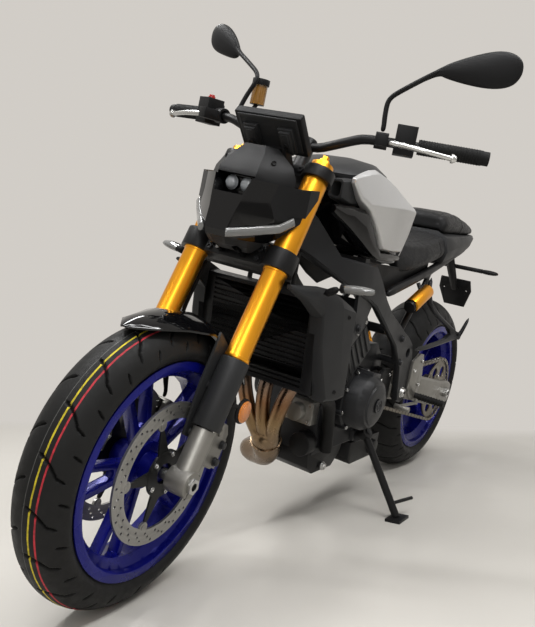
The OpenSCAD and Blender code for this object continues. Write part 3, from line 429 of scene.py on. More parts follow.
def relief(tree, shader, height, strength, distance):
    bump = shader_node(tree, "ShaderNodeBump")
    bump.inputs["Strength"].default_value = strength
    bump.inputs["Distance"].default_value = distance
    plug(tree, height, bump.inputs["Height"])
    tree.links.new(bump.outputs["Normal"], shader.inputs["Normal"])


def object_place(tree, stretch=(1.0, 1.0, 1.0), turn=(0.0, 0.0, 0.0), shift=(0.0, 0.0, 0.0)):
    """Object coordinates, turned and stretched for a pattern that runs one way."""
    place = shader_node(tree, "ShaderNodeTexCoord")
    mapping = shader_node(tree, "ShaderNodeMapping", vector_type="POINT")
    mapping.inputs["Location"].default_value = shift
    mapping.inputs["Rotation"].default_value = turn
    mapping.inputs["Scale"].default_value = stretch
    tree.links.new(place.outputs["Object"], mapping.inputs["Vector"])
    return mapping.outputs["Vector"]


def inside(frame_matrix):
    """Turn and shift of a Mapping node that reads a pattern in one of the frames."""
    back = frame_matrix.inverted()
    return tuple(back.to_euler("XYZ")), tuple(back.to_translation())


def round_hub(tree, hub):
    """Distance along a wheel's axle from its middle, and distance from that axle."""
    turn, shift = inside(hub)
    parts = shader_node(tree, "ShaderNodeSeparateXYZ")
    tree.links.new(object_place(tree, turn=turn, shift=shift), parts.inputs[0])
    x, y, z = parts.outputs
    flat = calc(tree, "MULTIPLY", x, x)
    return y, calc(tree, "SQRT", calc(tree, "MULTIPLY_ADD", z, z, flat))


def ring_cloud(tree, radius, scale):
    """Noise that changes only with the distance from an axle."""
    made = shader_node(tree, "ShaderNodeTexNoise", noise_dimensions="1D")
    tree.links.new(radius, made.inputs["W"])
    made.inputs["Scale"].default_value = scale
    return made.outputs["Fac"]


def blend_shaders(tree, fac, first, second, out):
    """Mixes two shaders by a factor into an output's surface."""
    mix = shader_node(tree, "ShaderNodeMixShader")
    for place, value in enumerate((fac, first, second)):
        tree.links.new(value, mix.inputs[place])
    tree.links.new(mix.outputs[0], out.inputs["Surface"])


def finish(name, colour, rough, metallic=0.0, coat=0.0, grain=900.0, bump=0.12, mottle=0.12, scuff=0.06,
           edge_wear_and_highlight=0.0, stretch=(1.0, 1.0, 1.0), turn=(0.0, 0.0, 0.0), fleck=0.0, shine=0.5):
    """A solid finish: mottled colour, uneven gloss, fine grain, and sharp edges lightened in patches,
    partly as wear and partly as painted highlight.
    """
    material, tree, shader = new_material(name)
    place = object_place(tree)
    run = object_place(tree, stretch, turn)
    tone = mix_colour(tree, cloud(tree, place, 7.0, 4.0), rgba(colour, 1.0 - mottle),
                      rgba(colour, 1.0 + mottle))
    if fleck:
        sparkle = spread(tree, cloud(tree, place, 2600.0, 1.0), 0.0, fleck, 0.55, 0.75)
        tone = mix_colour(tree, sparkle, tone, rgba(colour, 2.2))
    # Partly wear, partly painted highlight: sharp edges are lightened in patches towards 3.5 times the
    # colour
    if edge_wear_and_highlight:
        edge = shader_node(tree, "ShaderNodeNewGeometry").outputs["Pointiness"]
        rub_and_highlight = calc(tree, "MULTIPLY", spread(tree, edge, 0.0, 1.0, 0.53, 0.62),
                   cloud(tree, place, 60.0, 4.0))
        tone = mix_colour(tree, calc(tree, "MULTIPLY", rub_and_highlight, edge_wear_and_highlight), tone, rgba(colour, 3.5))
    tree.links.new(tone, shader.inputs["Base Color"])
    uneven = calc(tree, "ADD", spread(tree, cloud(tree, place, 16.0, 5.0), -scuff, scuff), rough)
    tree.links.new(uneven, shader.inputs["Roughness"])
    shader.inputs["Metallic"].default_value = metallic
    shader.inputs["Specular IOR Level"].default_value = shine
    shader.inputs["Coat Weight"].default_value = coat
    shader.inputs["Coat Roughness"].default_value = 0.05
    relief(tree, shader, cloud(tree, run, grain, 3.0), bump, 0.0006)
    return material


def heat_tinted(name):
    """Stainless pipe with straw and bronze heat colours."""
    material, tree, shader = new_material(name)
    place = object_place(tree)
    height = shader_node(tree, "ShaderNodeSeparateXYZ")
    tree.links.new(place, height.inputs[0])
    drift = calc(tree, "MULTIPLY_ADD", cloud(tree, place, 9.0, 4.0), 0.24, -0.12)
    level = calc(tree, "ADD", spread(tree, height.outputs["Z"], 0.0, 1.0, 0.15, 0.53), drift)
    ramp = shader_node(tree, "ShaderNodeValToRGB")
    steps = ((0.0, (0.20, 0.15, 0.11, 1.0)), (0.35, (0.27, 0.18, 0.09, 1.0)),
             (0.60, (0.21, 0.11, 0.055, 1.0)),
             (0.80, (0.18, 0.13, 0.10, 1.0)), (1.0, (0.13, 0.11, 0.12, 1.0)))
    while len(ramp.color_ramp.elements) < len(steps):
        ramp.color_ramp.elements.new(0.5)
    for element, (place_on_ramp, colour) in zip(ramp.color_ramp.elements, steps):
        element.position = place_on_ramp
        element.color = colour
    tree.links.new(level, ramp.inputs["Fac"])
    tree.links.new(ramp.outputs["Color"], shader.inputs["Base Color"])
    shader.inputs["Metallic"].default_value = 1.0
    tree.links.new(spread(tree, cloud(tree, place, 22.0, 5.0), 0.20, 0.38), shader.inputs["Roughness"])
    relief(tree, shader, cloud(tree, place, 420.0, 3.0), 0.08, 0.0005)
    return material


def disc_steel(name, colour, hub):
    """Ground steel with fine rings round the hub and darker swept bands."""
    material, tree, shader = new_material(name)
    _, radius = round_hub(tree, hub)
    rings = ring_cloud(tree, radius, 2600.0)
    tone = mix_colour(tree, ring_cloud(tree, radius, 130.0), rgba(colour, 0.72), rgba(colour, 1.1))
    tree.links.new(tone, shader.inputs["Base Color"])
    shader.inputs["Metallic"].default_value = 0.9
    tree.links.new(spread(tree, rings, 0.28, 0.46), shader.inputs["Roughness"])
    relief(tree, shader, rings, 0.12, 0.0003)
    return material


def seat_leather(name, colour):
    """Grained seat cover: pebbled cells with painted shade in the grooves between them, fine creases and a
    soft sheen.
    """
    material, tree, shader = new_material(name)
    place = object_place(tree)
    cells = shader_node(tree, "ShaderNodeTexVoronoi", feature="DISTANCE_TO_EDGE")
    tree.links.new(place, cells.inputs["Vector"])
    cells.inputs["Scale"].default_value = 520.0
    pebble_height_and_shade = spread(tree, cells.outputs["Distance"], 0.0, 1.0, 0.0, 0.25)
    crease = cloud(tree, place, 90.0, 5.0)
    tone = mix_colour(tree, cloud(tree, place, 9.0, 4.0), rgba(colour, 0.8), rgba(colour, 1.35))
    # Painted shade: the grooves between the cells are darkened to 0.7 of the cover's colour
    tree.links.new(mix_colour(tree, pebble_height_and_shade, rgba(colour, 0.7), tone), shader.inputs["Base Color"])
    tree.links.new(spread(tree, crease, 0.44, 0.62), shader.inputs["Roughness"])
    shader.inputs["Specular IOR Level"].default_value = 0.22
    shader.inputs["Sheen Weight"].default_value = 0.03
    height = calc(tree, "MULTIPLY_ADD", crease, 0.4, pebble_height_and_shade)
    relief(tree, shader, height, 0.35, 0.0005)
    return material


def lens(name, colour, rough, clear):
    """Moulded lens with fine flutes."""
    material, tree, shader = new_material(name)
    place = object_place(tree)
    wave = shader_node(tree, "ShaderNodeTexWave", wave_type="BANDS", bands_direction="Z")
    tree.links.new(place, wave.inputs["Vector"])
    wave.inputs["Scale"].default_value = 420.0
    tone = mix_colour(tree, cloud(tree, place, 40.0, 2.0), rgba(colour, 0.85), rgba(colour, 1.1))
    tree.links.new(tone, shader.inputs["Base Color"])
    tree.links.new(spread(tree, cloud(tree, place, 30.0, 2.0), rough, rough + 0.06),
                   shader.inputs["Roughness"])
    shader.inputs["Transmission Weight"].default_value = clear
    shader.inputs["IOR"].default_value = 1.49
    shader.inputs["Coat Weight"].default_value = 0.5
    relief(tree, shader, wave.outputs["Fac"], 0.06, 0.0003)
    return material


DISC_GREY = (0.33, 0.325, 0.31)


class MOTORCYCLE_OT_finishes(bpy.types.Operator):
    """Makes every finish and paints the machine's solids with them"""

    bl_idname = "motorcycle.finishes"
    bl_label = "Finishes"

    def execute(self, context):
        paint = colours()
        turn, _ = inside(FORK)
        # The edge amounts below lighten sharp edges, partly as wear and partly as painted highlight
        finish("satin_dark_grey", paint.frame_grey, 0.40, 0.1, shine=0.2, grain=1500.0, bump=0.10,
               edge_wear_and_highlight=0.25, fleck=0.12)
        finish("matte_black_metal", paint.metal_black, 0.42, shine=0.2, grain=1400.0, bump=0.12, edge_wear_and_highlight=0.35)
        finish("cast_aluminium", paint.casting_silver, 0.44, 0.85, grain=700.0, bump=0.22, mottle=0.16,
               edge_wear_and_highlight=0.1)
        finish("bright_steel", paint.steel, 0.26, 1.0, grain=500.0, bump=0.06, stretch=(1.0, 1.0, 8.0))
        finish("gold_anodised", paint.fork_gold, 0.34, 1.0, grain=500.0, bump=0.05, mottle=0.06, scuff=0.03,
               stretch=(6.0, 6.0, 0.12), turn=turn)
        finish("dark_casting", paint.casting_dark, 0.38, 0.2, shine=0.25, grain=800.0, bump=0.20, edge_wear_and_highlight=0.25,
               fleck=0.1)
        heat_tinted("heat_tinted_steel")
        finish("black_plastic", paint.plastic_black, 0.50, shine=0.15, grain=1900.0, bump=0.05, scuff=0.05)
        finish("gloss_black", paint.gloss_black, 0.06, shine=0.35, grain=120.0, bump=0.012, scuff=0.02)
        finish("grey_plastic", paint.plastic_grey, 0.46, shine=0.2, grain=1700.0, bump=0.18, scuff=0.05)
        finish("silver_paint", paint.panel_silver, 0.34, 0.6, coat=0.35, grain=2400.0, bump=0.05,
               mottle=0.05, fleck=0.25)
        seat_leather("seat_cover", paint.seat_black)
        lens("red_lens", (0.45, 0.012, 0.010), 0.08, 0.25)
        lens("clear_lens", (0.20, 0.20, 0.195), 0.07, 0.3)
        lens("amber_plastic", paint.amber, 0.08, 0.25)
        lens("fluid_amber", (0.42, 0.20, 0.03), 0.10, 0.5)
        lens("lamp_glass", (0.36, 0.38, 0.40), 0.04, 0.12)
        finish("mirror_glass", (0.75, 0.77, 0.80), 0.05, 1.0, grain=60.0, bump=0.004, mottle=0.02,
               scuff=0.02)
        finish("screen", (0.004, 0.005, 0.007), 0.08, shine=0.5, grain=80.0, bump=0.004, scuff=0.02)
        finish("rubber", paint.rubber_black, 0.62, shine=0.15, grain=1100.0, bump=0.25)
        finish("tyre", paint.rubber_black, 0.66, grain=1100.0, bump=0.25)
        finish("blue_paint", paint.wheel_blue, 0.28, 0.3, shine=0.25, coat=0.08, grain=2200.0, bump=0.04,
               mottle=0.08, fleck=0.18)
        disc_steel("disc_steel", DISC_GREY, FRONT_HUB)
        disc_steel("rear_disc_steel", DISC_GREY, REAR_HUB)
        finish("chain_steel", (0.16, 0.14, 0.11), 0.38, 0.9, grain=600.0, bump=0.15, mottle=0.2)
        for name, solid in frame["nodes"].items():
            solid.data.materials.clear()
            solid.data.materials.append(MATERIALS[SLOTS[name]])
        rear = frame["nodes"]["rear_disc"].data.materials
        rear.clear()
        rear.append(MATERIALS["rear_disc_steel"])
        return {"FINISHED"}


def second_finish(piece, frame_matrix, test, slot):
    """Paints the faces that pass a test, in a frame's millimetres, with a second finish."""
    piece.data.materials.append(MATERIALS[slot])
    back = frame_matrix.inverted()
    for face in piece.data.polygons:
        if test(back @ face.center / MM):
            face.material_index = 1


# Rider's footrest: its middle in side view, where its rubber starts across, and its reach, in millimetres
PEG_AT = (346.0, 352.0)
PEG_START = 172.0
PEG_REACH = 14.0
# Guards at the fender's sides: inside this radius round the axle and past this distance across
GUARD_RADIUS = 286.0
GUARD_START = 60.0


def on_peg(place):
    reach = math.hypot(place.x - PEG_AT[0], place.z - PEG_AT[1])
    return abs(place.y) > PEG_START and reach < PEG_REACH


def on_guard(place):
    return math.hypot(place.x, place.z) < GUARD_RADIUS and abs(place.y) > GUARD_START


# Solids of two finishes: frame, test in its millimetres, second finish
TWO_TONE = {
    "headlamp_cowl": (TURNED, lambda place: place.z > 903.4 or abs(place.y) > 98.0, "black_plastic"),
    "brake_reservoir": (TURNED, lambda place: place.z > 1129.0 or place.z < 1084.6, "black_plastic"),
    "front_fender": (FORK, on_guard, "grey_plastic"),
    "fork_legs": (FORK, lambda place: place.z > 110.5, "bright_steel"),
    "radiator": (MACHINE, lambda place: place.x < 1030.0, "rubber"),
    "headlamp": (TURNED, lambda place: place.x < 1268.8, "gloss_black"),
    "footrests": (MACHINE, on_peg, "rubber"),
    "shock_reservoir": (MACHINE, lambda place: place.z > 692.0 or place.x > 497.0, "matte_black_metal"),
}
# Finishes that differ from a node's own slot
REPAINT = {"brake_reservoir": "fluid_amber", "headlamp": "lamp_glass", "cowl_chin": "grey_plastic"}


# Copies of solids with rounded edges: node, bevel in millimetres, sharpest angle kept smooth
EDGED = (
    ("radiator_shrouds", 2.0, 34.0), ("tank_panels", 2.2, 30.0), ("intake_panels", 1.5, 34.0),
    ("tank_cover", 1.5, 34.0), ("tail_cowl", 1.0, 40.0), ("headlamp_cowl", 1.2, 30.0),
    ("cowl_chin", 1.2, 30.0), ("front_fender", 0.8, 34.0), ("display", 4.2, 30.0),
    ("plate_holder", 1.0, 40.0), ("muffler", 5.0, 34.0), ("switchgear", 2.5, 34.0), ("fuel_cap", 2.0, 34.0),
    ("frame", 2.5, 34.0), ("swingarm", 3.0, 34.0), ("crankcase", 3.0, 34.0), ("cylinder_block", 3.0, 34.0),
    ("oil_pan", 4.0, 34.0), ("engine_covers", 1.2, 34.0), ("sprocket_cover", 2.5, 34.0),
    ("oil_cooler", 2.5, 34.0), ("footrests", 1.2, 34.0), ("rear_caliper", 2.0, 34.0),
    ("fork_clamps", 2.0, 34.0), ("fork_legs", 1.2, 34.0), ("front_calipers", 1.6, 34.0),
    ("front_rim", 1.2, 34.0), ("rear_rim", 1.2, 34.0), ("side_stand", 1.0, 34.0), ("radiator", 0.6, 34.0),
    ("fuel_tank", 1.0, 44.0), ("fork_tubes", 0.8, 34.0), ("tail_lamp", 1.2, 34.0),
    ("rear_sprocket", 0.6, 34.0), ("headlamp", 0.3, 34.0), ("shock_reservoir", 1.0, 34.0),
    ("brake_reservoir", 1.2, 34.0),
)
# Lofted shells whose edges keep their full radius beside short edges
UNCLAMPED = ("tank_panels", "display")
# Shells whose broad faces keep even light beside their bevels
EVEN_LIT = ("headlamp_cowl", "cowl_chin", "radiator_shrouds", "tank_panels", "intake_panels", "display",
            "frame")
# Round bars and lofts, kept smooth round their length
ROUNDED = (
    "subframe", "exhaust_headers", "passenger_footrests", "brake_hoses", "handlebar", "levers",
    "indicators",
)


# Indicators in the machine's millimetres: where stalks become heads, the heads' middles,
# and how far the heads are flattened
STALK_ROOT = 118.0
STALK_END = 218.0
STALK_BLEND = 16.0
FRONT_HEAD = 710.0
FRONT_HEAD_START = 220.0
FRONT_HEAD_RISE = 0.103
REAR_HEAD = 764.0
HEAD_FLATTENED = 0.48


def slim_indicators(piece):
    """Flattens the indicator heads to the low, wide section of the real ones."""
    back = MACHINE.inverted()
    for vertex in piece.data.vertices:
        place = back @ vertex.co / MM
        share = 1.0
        middle = REAR_HEAD
        if place.x > 0.0:
            share = min(1.0, max(0.0, (abs(place.y) - STALK_END) / STALK_BLEND))
            middle = FRONT_HEAD + (abs(place.y) - FRONT_HEAD_START) * FRONT_HEAD_RISE
        if abs(place.y) > STALK_ROOT:
            place.z = middle + (place.z - middle) * (1.0 - HEAD_FLATTENED * share)
            vertex.co = spot(MACHINE, *place)


class MOTORCYCLE_OT_edges(bpy.types.Operator):
    """Rounds the edges of panels, castings and brackets"""

    bl_idname = "motorcycle.edges"
    bl_label = "Rounded edges"

    def execute(self, context):
        for node, width, angle in EDGED:
            piece = copied(node, node + "_edged")
            apply_modifier(piece, "BEVEL", width=width * MM, segments=2, limit_method="ANGLE",
                           angle_limit=math.radians(angle), use_clamp_overlap=node not in UNCLAMPED,
                           miter_outer="MITER_ARC")
            smooth_by_angle(piece, angle)
            paint = MATERIALS[REPAINT.get(node, SLOTS[node])]
            settle(piece, paint, frame["nodes"][node]["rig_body"], SLOTS[node], node)
            if node in EVEN_LIT:
                apply_modifier(piece, "WEIGHTED_NORMAL", keep_sharp=True)
            if node in TWO_TONE:
                second_finish(piece, *TWO_TONE[node])
        for node in ROUNDED:
            piece = copied(node, node + "_round")
            apply_modifier(piece, "SUBSURF", levels=1, render_levels=1)
            if node == "indicators":
                slim_indicators(piece)
            smooth_by_angle(piece, 50.0)
            settle(piece, MATERIALS[SLOTS[node]], frame["nodes"][node]["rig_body"], SLOTS[node], node)
        return {"FINISHED"}


def tyre_material(name, hub, ring, stripes):
    """Rubber with fine moulding rings on the side wall, painted lines round a new crown, and painted shade
    darkening the tread's grooves.
    """
    material, tree, shader = new_material(name)
    paint = colours()
    place = object_place(tree)
    across, radius = round_hub(tree, hub)
    lift = calc(tree, "SUBTRACT", radius, ring)
    around = calc(tree, "ARCTAN2", across, lift)
    waver = calc(tree, "MULTIPLY_ADD", cloud(tree, place, 34.0, 3.0), 0.03, -0.015)
    around = calc(tree, "ADD", around, waver)
    tone = mix_colour(tree, cloud(tree, place, 14.0, 4.0), rgba(paint.rubber_black, 0.9),
                      rgba(paint.rubber_black, 1.7))
    groove_depth_and_shade = shader_node(tree, "ShaderNodeAttribute", attribute_type="GEOMETRY",
                         attribute_name="groove_depth_and_shade").outputs["Fac"]
    for degrees, half_width, colour in stripes:
        off = calc(tree, "ABSOLUTE", calc(tree, "SUBTRACT", around, math.radians(degrees)))
        band = spread(tree, off, 1.0, 0.0, half_width * 0.7, half_width)
        patchy = calc(tree, "MULTIPLY", band, spread(tree, cloud(tree, place, 120.0, 3.0), 0.55, 1.0))
        tone = mix_colour(tree, patchy, tone, rgba(colour))
    # Painted shade: the grooves are darkened towards 0.12 of the rubber's colour by their depth share
    tone = mix_colour(tree, groove_depth_and_shade, tone, rgba(paint.rubber_black, 0.12))
    tree.links.new(tone, shader.inputs["Base Color"])
    dull = calc(tree, "MULTIPLY_ADD", groove_depth_and_shade, 0.3, spread(tree, cloud(tree, place, 60.0, 4.0), 0.48, 0.62))
    tree.links.new(dull, shader.inputs["Roughness"])
    shader.inputs["Specular IOR Level"].default_value = 0.16
    rings = calc(tree, "SINE", calc(tree, "MULTIPLY", radius, 2600.0))
    wall = spread(tree, calc(tree, "ABSOLUTE", around), 0.0, 1.0, 1.25, 1.45)
    height = calc(tree, "MULTIPLY_ADD", calc(tree, "MULTIPLY", rings, wall), 0.25,
                  cloud(tree, place, 900.0, 3.0))
    relief(tree, shader, height, 0.25, 0.0006)
    return material


# Grooves of the tread on one side: first and last place across the side (0 crown, 1 edge),
# place round the pitch at the crown, slant across, and width in millimetres
GROOVES = ((0.05, 0.64, 0.05, 1.05, 6.0), (0.52, 0.80, 0.30, 0.30, 5.0), (0.74, 1.0, 0.78, 0.22, 5.0))
GROOVE_PITCHES = 20
TREAD_SPAN = math.radians(78.0)
# Share of the section's points that lie on the tread, where the grooves are cut
TREAD_POINTS = 0.7
# Share of the side over which a groove runs out, and half the slope of its walls in millimetres
GROOVE_RUN_OUT = 0.07
GROOVE_WALL = 0.8
# Tyre section in metres and radians: the bead's radius and lip, and where the wall and the bead end
BEAD_RADIUS = 0.2165
BEAD_LIP = 0.014
WALL_BULGE = 0.004
WALL_END = 2.2
BEAD_END = 2.5
SECTION_POINTS = 104
RING_STEPS = 880
# Half widths of each tyre at its bead and at its tread's edge, in metres
FRONT_HALVES = (0.0495, 0.0608)
REAR_HALVES = (0.0745, 0.0898)


def groove_depth(turn, around, pitch):
    """Share of the full tread depth at a turn round the wheel and an angle round the crown."""
    across = abs(around) / TREAD_SPAN
    start = turn * GROOVE_PITCHES + (0.5 if around < 0.0 else 0.0)
    deepest = 0.0
    for low, high, lead, slant, width in GROOVES:
        if low < across < high:
            off = (start - lead - slant * across * across + 0.5) % 1.0 - 0.5
            end = min(across - low, high - across) / GROOVE_RUN_OUT
            half = width * 0.5 * min(1.0, end)
            deepest = max(deepest,
                          min(1.0, max(0.0, (half + GROOVE_WALL - abs(off) * pitch) / (2.0 * GROOVE_WALL))))
    return deepest


def crowd_tread(around):
    """Moves a section's even angles towards the crown, so that the tread gets most of the points."""
    share = abs(around) / math.pi
    if share < TREAD_POINTS:
        moved = share / TREAD_POINTS * TREAD_SPAN
    else:
        moved = TREAD_SPAN + (share - TREAD_POINTS) / (1.0 - TREAD_POINTS) * (math.pi - TREAD_SPAN)
    return math.copysign(moved, around)


def tyre_point(around, ring, crown, half, wall):
    """Radius and offset of the tyre's skin at an angle round its section, in metres."""
    side = abs(around)
    shoulder = math.asin(min(1.0, wall / crown))
    if side <= shoulder:
        return ring + crown * math.cos(around), crown * math.sin(around)
    if side <= WALL_END:
        share = (side - shoulder) / (WALL_END - shoulder)
        shoulder_r = ring + crown * math.cos(shoulder)
        bulge = WALL_BULGE * math.sin(math.pi * share)
        radius = shoulder_r + (BEAD_RADIUS + BEAD_LIP - shoulder_r) * share
        offset = wall + (half - wall) * share + bulge
    elif side <= BEAD_END:
        share = (side - WALL_END) / (BEAD_END - WALL_END)
        radius = BEAD_RADIUS + BEAD_LIP * (1.0 - share)
        offset = half
    else:
        share = (side - BEAD_END) / (math.pi - BEAD_END)
        radius = BEAD_RADIUS + BEAD_LIP * share
        offset = half * (1.0 - share)
    return radius, math.copysign(offset, around)


def make_tyre(name, node, hub, ring, crown, half, wall, material):
    """A ring shaped to the tyre's section, with its tread cut in the crown."""
    piece = begin_ring(name, SECTION_POINTS, crown, ring)
    apply_modifier(piece, "SCREW", axis="Z", angle=math.tau, steps=RING_STEPS, render_steps=RING_STEPS,
                   screw_offset=0.0,
                   use_merge_vertices=True)
    pitch = math.tau * (ring + crown) / GROOVE_PITCHES / MM
    to_row = hub @ Matrix.Rotation(math.radians(-90.0), 4, "X")
    # Each point keeps its groove depth share, which the material uses for painted shade in the grooves and
    # for their dullness
    groove_depth_and_shade_layer = piece.data.attributes.new("groove_depth_and_shade", "FLOAT", "POINT")
    for vertex in piece.data.vertices:
        x, y, z = vertex.co
        turn = math.atan2(y, x)
        around = crowd_tread(math.atan2(z, math.hypot(x, y) - ring))
        radius, offset = tyre_point(around, ring, crown, half, wall)
        share = groove_depth(turn / math.tau + 0.5, around, pitch)
        cut = share * sizes().tread_depth
        groove_depth_and_shade_layer.data[vertex.index].value = share
        if abs(around) < TREAD_SPAN:
            radius -= cut * math.cos(around)
            offset -= cut * math.sin(around)
        vertex.co = to_row @ Vector((radius * math.cos(turn), radius * math.sin(turn), offset))
    face_outwards(piece)
    smooth_by_angle(piece, 50.0)
    settle(piece, material, frame["nodes"][node]["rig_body"], "tyre", node)


class MOTORCYCLE_OT_tyres(bpy.types.Operator):
    """Both tyres with cut tread and the lines of new rubber"""

    bl_idname = "motorcycle.tyres"
    bl_label = "Tyres"

    def execute(self, context):
        size = sizes()
        paint = colours()
        lines = ((4.5, 0.012, (0.10, 0.10, 0.095)), (16.0, 0.030, paint.stripe_yellow),
                 (27.0, 0.030, paint.stripe_red))
        front = tyre_material("front_tyre_rubber", FRONT_HUB, size.front_ring, lines)
        rear = tyre_material("rear_tyre_rubber", REAR_HUB, size.rear_ring, ())
        make_tyre("front_tyre_skin", "front_tyre", FRONT_HUB, size.front_ring, size.front_crown,
                  *FRONT_HALVES, front)
        make_tyre("rear_tyre_skin", "rear_tyre", REAR_HUB, size.rear_ring, size.rear_crown, *REAR_HALVES,
                  rear)
        return {"FINISHED"}


# Sewn lines along and across a seat: depth in metres, half width and run-out in millimetres
SEAM_DEPTH = 0.0030
SEAM_HALF = 7.0
SEAM_RUN_OUT = 10.0
CROSS_DEPTH = 0.0026
CROSS_HALF = 6.0
CLOTH_PRESSURE = 4.0
CLOTH_FRAMES = 20


def seam_sink(place, seams):
    """How far a sewn line pulls the cover in, in metres, at a point in the machine's millimetres."""
    deepest = 0.0
    for start, end, across, low in seams:
        if start - SEAM_RUN_OUT < place.x < end + SEAM_RUN_OUT and place.z > low:
            share = min(1.0, max(0.0, (place.x - start) / (end - start)))
            line = across[0] + (across[1] - across[0]) * share
            off = abs(abs(place.y) - line)
            deepest = max(deepest, SEAM_DEPTH * max(0.0, 1.0 - off / SEAM_HALF))
    return deepest


def cross_sink(place, lines):
    """Sink of the sewn lines that run across the seat, in metres."""
    return max((CROSS_DEPTH * max(0.0, 1.0 - abs(place.x - line) / CROSS_HALF) for line in lines),
               default=0.0)


def swell(piece):
    """Blows the pad up a little as cloth and caps how far each point moves."""
    scene = bpy.context.scene
    rest = [vertex.co.copy() for vertex in piece.data.vertices]
    pick(piece)
    modifier = piece.modifiers.new("Cloth", "CLOTH")
    modifier.settings.use_pressure = True
    modifier.settings.uniform_pressure_force = CLOTH_PRESSURE
    modifier.settings.effector_weights.gravity = 0.0
    modifier.settings.quality = 4
    modifier.point_cache.frame_start = 1
    modifier.point_cache.frame_end = CLOTH_FRAMES
    for number in range(1, CLOTH_FRAMES + 1):
        scene.frame_set(number)
    bpy.ops.object.modifier_apply(modifier=modifier.name)
    scene.frame_set(1)
    limit = sizes().seat_swell
    for vertex, start in zip(piece.data.vertices, rest):
        move = vertex.co - start
        if move.length > limit:
            vertex.co = start + move * (limit / move.length)


def make_seat(node, name, seams, lines):
    """A padded seat: remeshed, swollen, sewn and smoothed."""
    piece = copied(node, name)
    apply_modifier(piece, "REMESH", mode="VOXEL", voxel_size=sizes().seat_voxel)
    apply_modifier(piece, "SMOOTH", factor=0.5, iterations=8)
    edit_all(piece)
    bpy.ops.transform.shrink_fatten(value=-0.003)
    close_edit()
    swell(piece)
    apply_modifier(piece, "SUBSURF", levels=1, render_levels=1)
    to_machine = MACHINE.inverted()
    normals = [vertex.normal.copy() for vertex in piece.data.vertices]
    for vertex, normal in zip(piece.data.vertices, normals):
        place = to_machine @ vertex.co / MM
        sink = max(seam_sink(place, seams), cross_sink(place, lines))
        vertex.co -= normal * sink
    smooth_by_angle(piece, 60.0)
    settle(piece, MATERIALS["seat_cover"], "chassis", "seat_cover", node)


class MOTORCYCLE_OT_seats(bpy.types.Operator):
    """Padded seats with sewn lines"""

    bl_idname = "motorcycle.seats"
    bl_label = "Seats"

    def execute(self, context):
        make_seat("rider_seat", "rider_seat_pad", ((280.0, 545.0, (92.0, 62.0), 800.0),), (300.0,))
        make_seat("passenger_seat", "passenger_seat_pad", ((-160.0, 240.0, (44.0, 74.0), 900.0),), (60.0,))
        return {"FINISHED"}


# Where the left bar leaves its rise and where it ends, in the turned frame's millimetres
BAR_ROOT = Vector((1087.0, 195.0, 1041.0))
BAR_END = Vector((1002.0, 412.0, 1047.0))


def bar_frame(side):
    """The frame of one bar end, z out, x down and y back, for side 1 (left) or -1 (right)."""
    way = (BAR_END - BAR_ROOT).normalized()
    mirror = Matrix.Diagonal((1.0, float(side), 1.0, 1.0))
    swing = Matrix.Rotation(math.atan2(way.y, way.x), 4, "Z") @ Matrix.Rotation(math.acos(way.z), 4, "Y")
    return TURNED @ mirror @ Matrix.Translation(BAR_ROOT * MM) @ swing


def on_circle(centre, radius, count, start, way):
    """Places round a circle in a frame's x-z plane, facing one way."""
    rows = []
    for number in range(count):
        angle = math.radians(start + 360.0 * number / count)
        place = (centre[0] + radius * math.cos(angle), centre[1], centre[2] + radius * math.sin(angle))
        rows.append((place, way))
    return rows


LEFT = (0.0, 1.0, 0.0)
RIGHT = (0.0, -1.0, 0.0)
AHEAD = (1.0, 0.0, 0.0)
UP = (0.0, 0.0, 1.0)


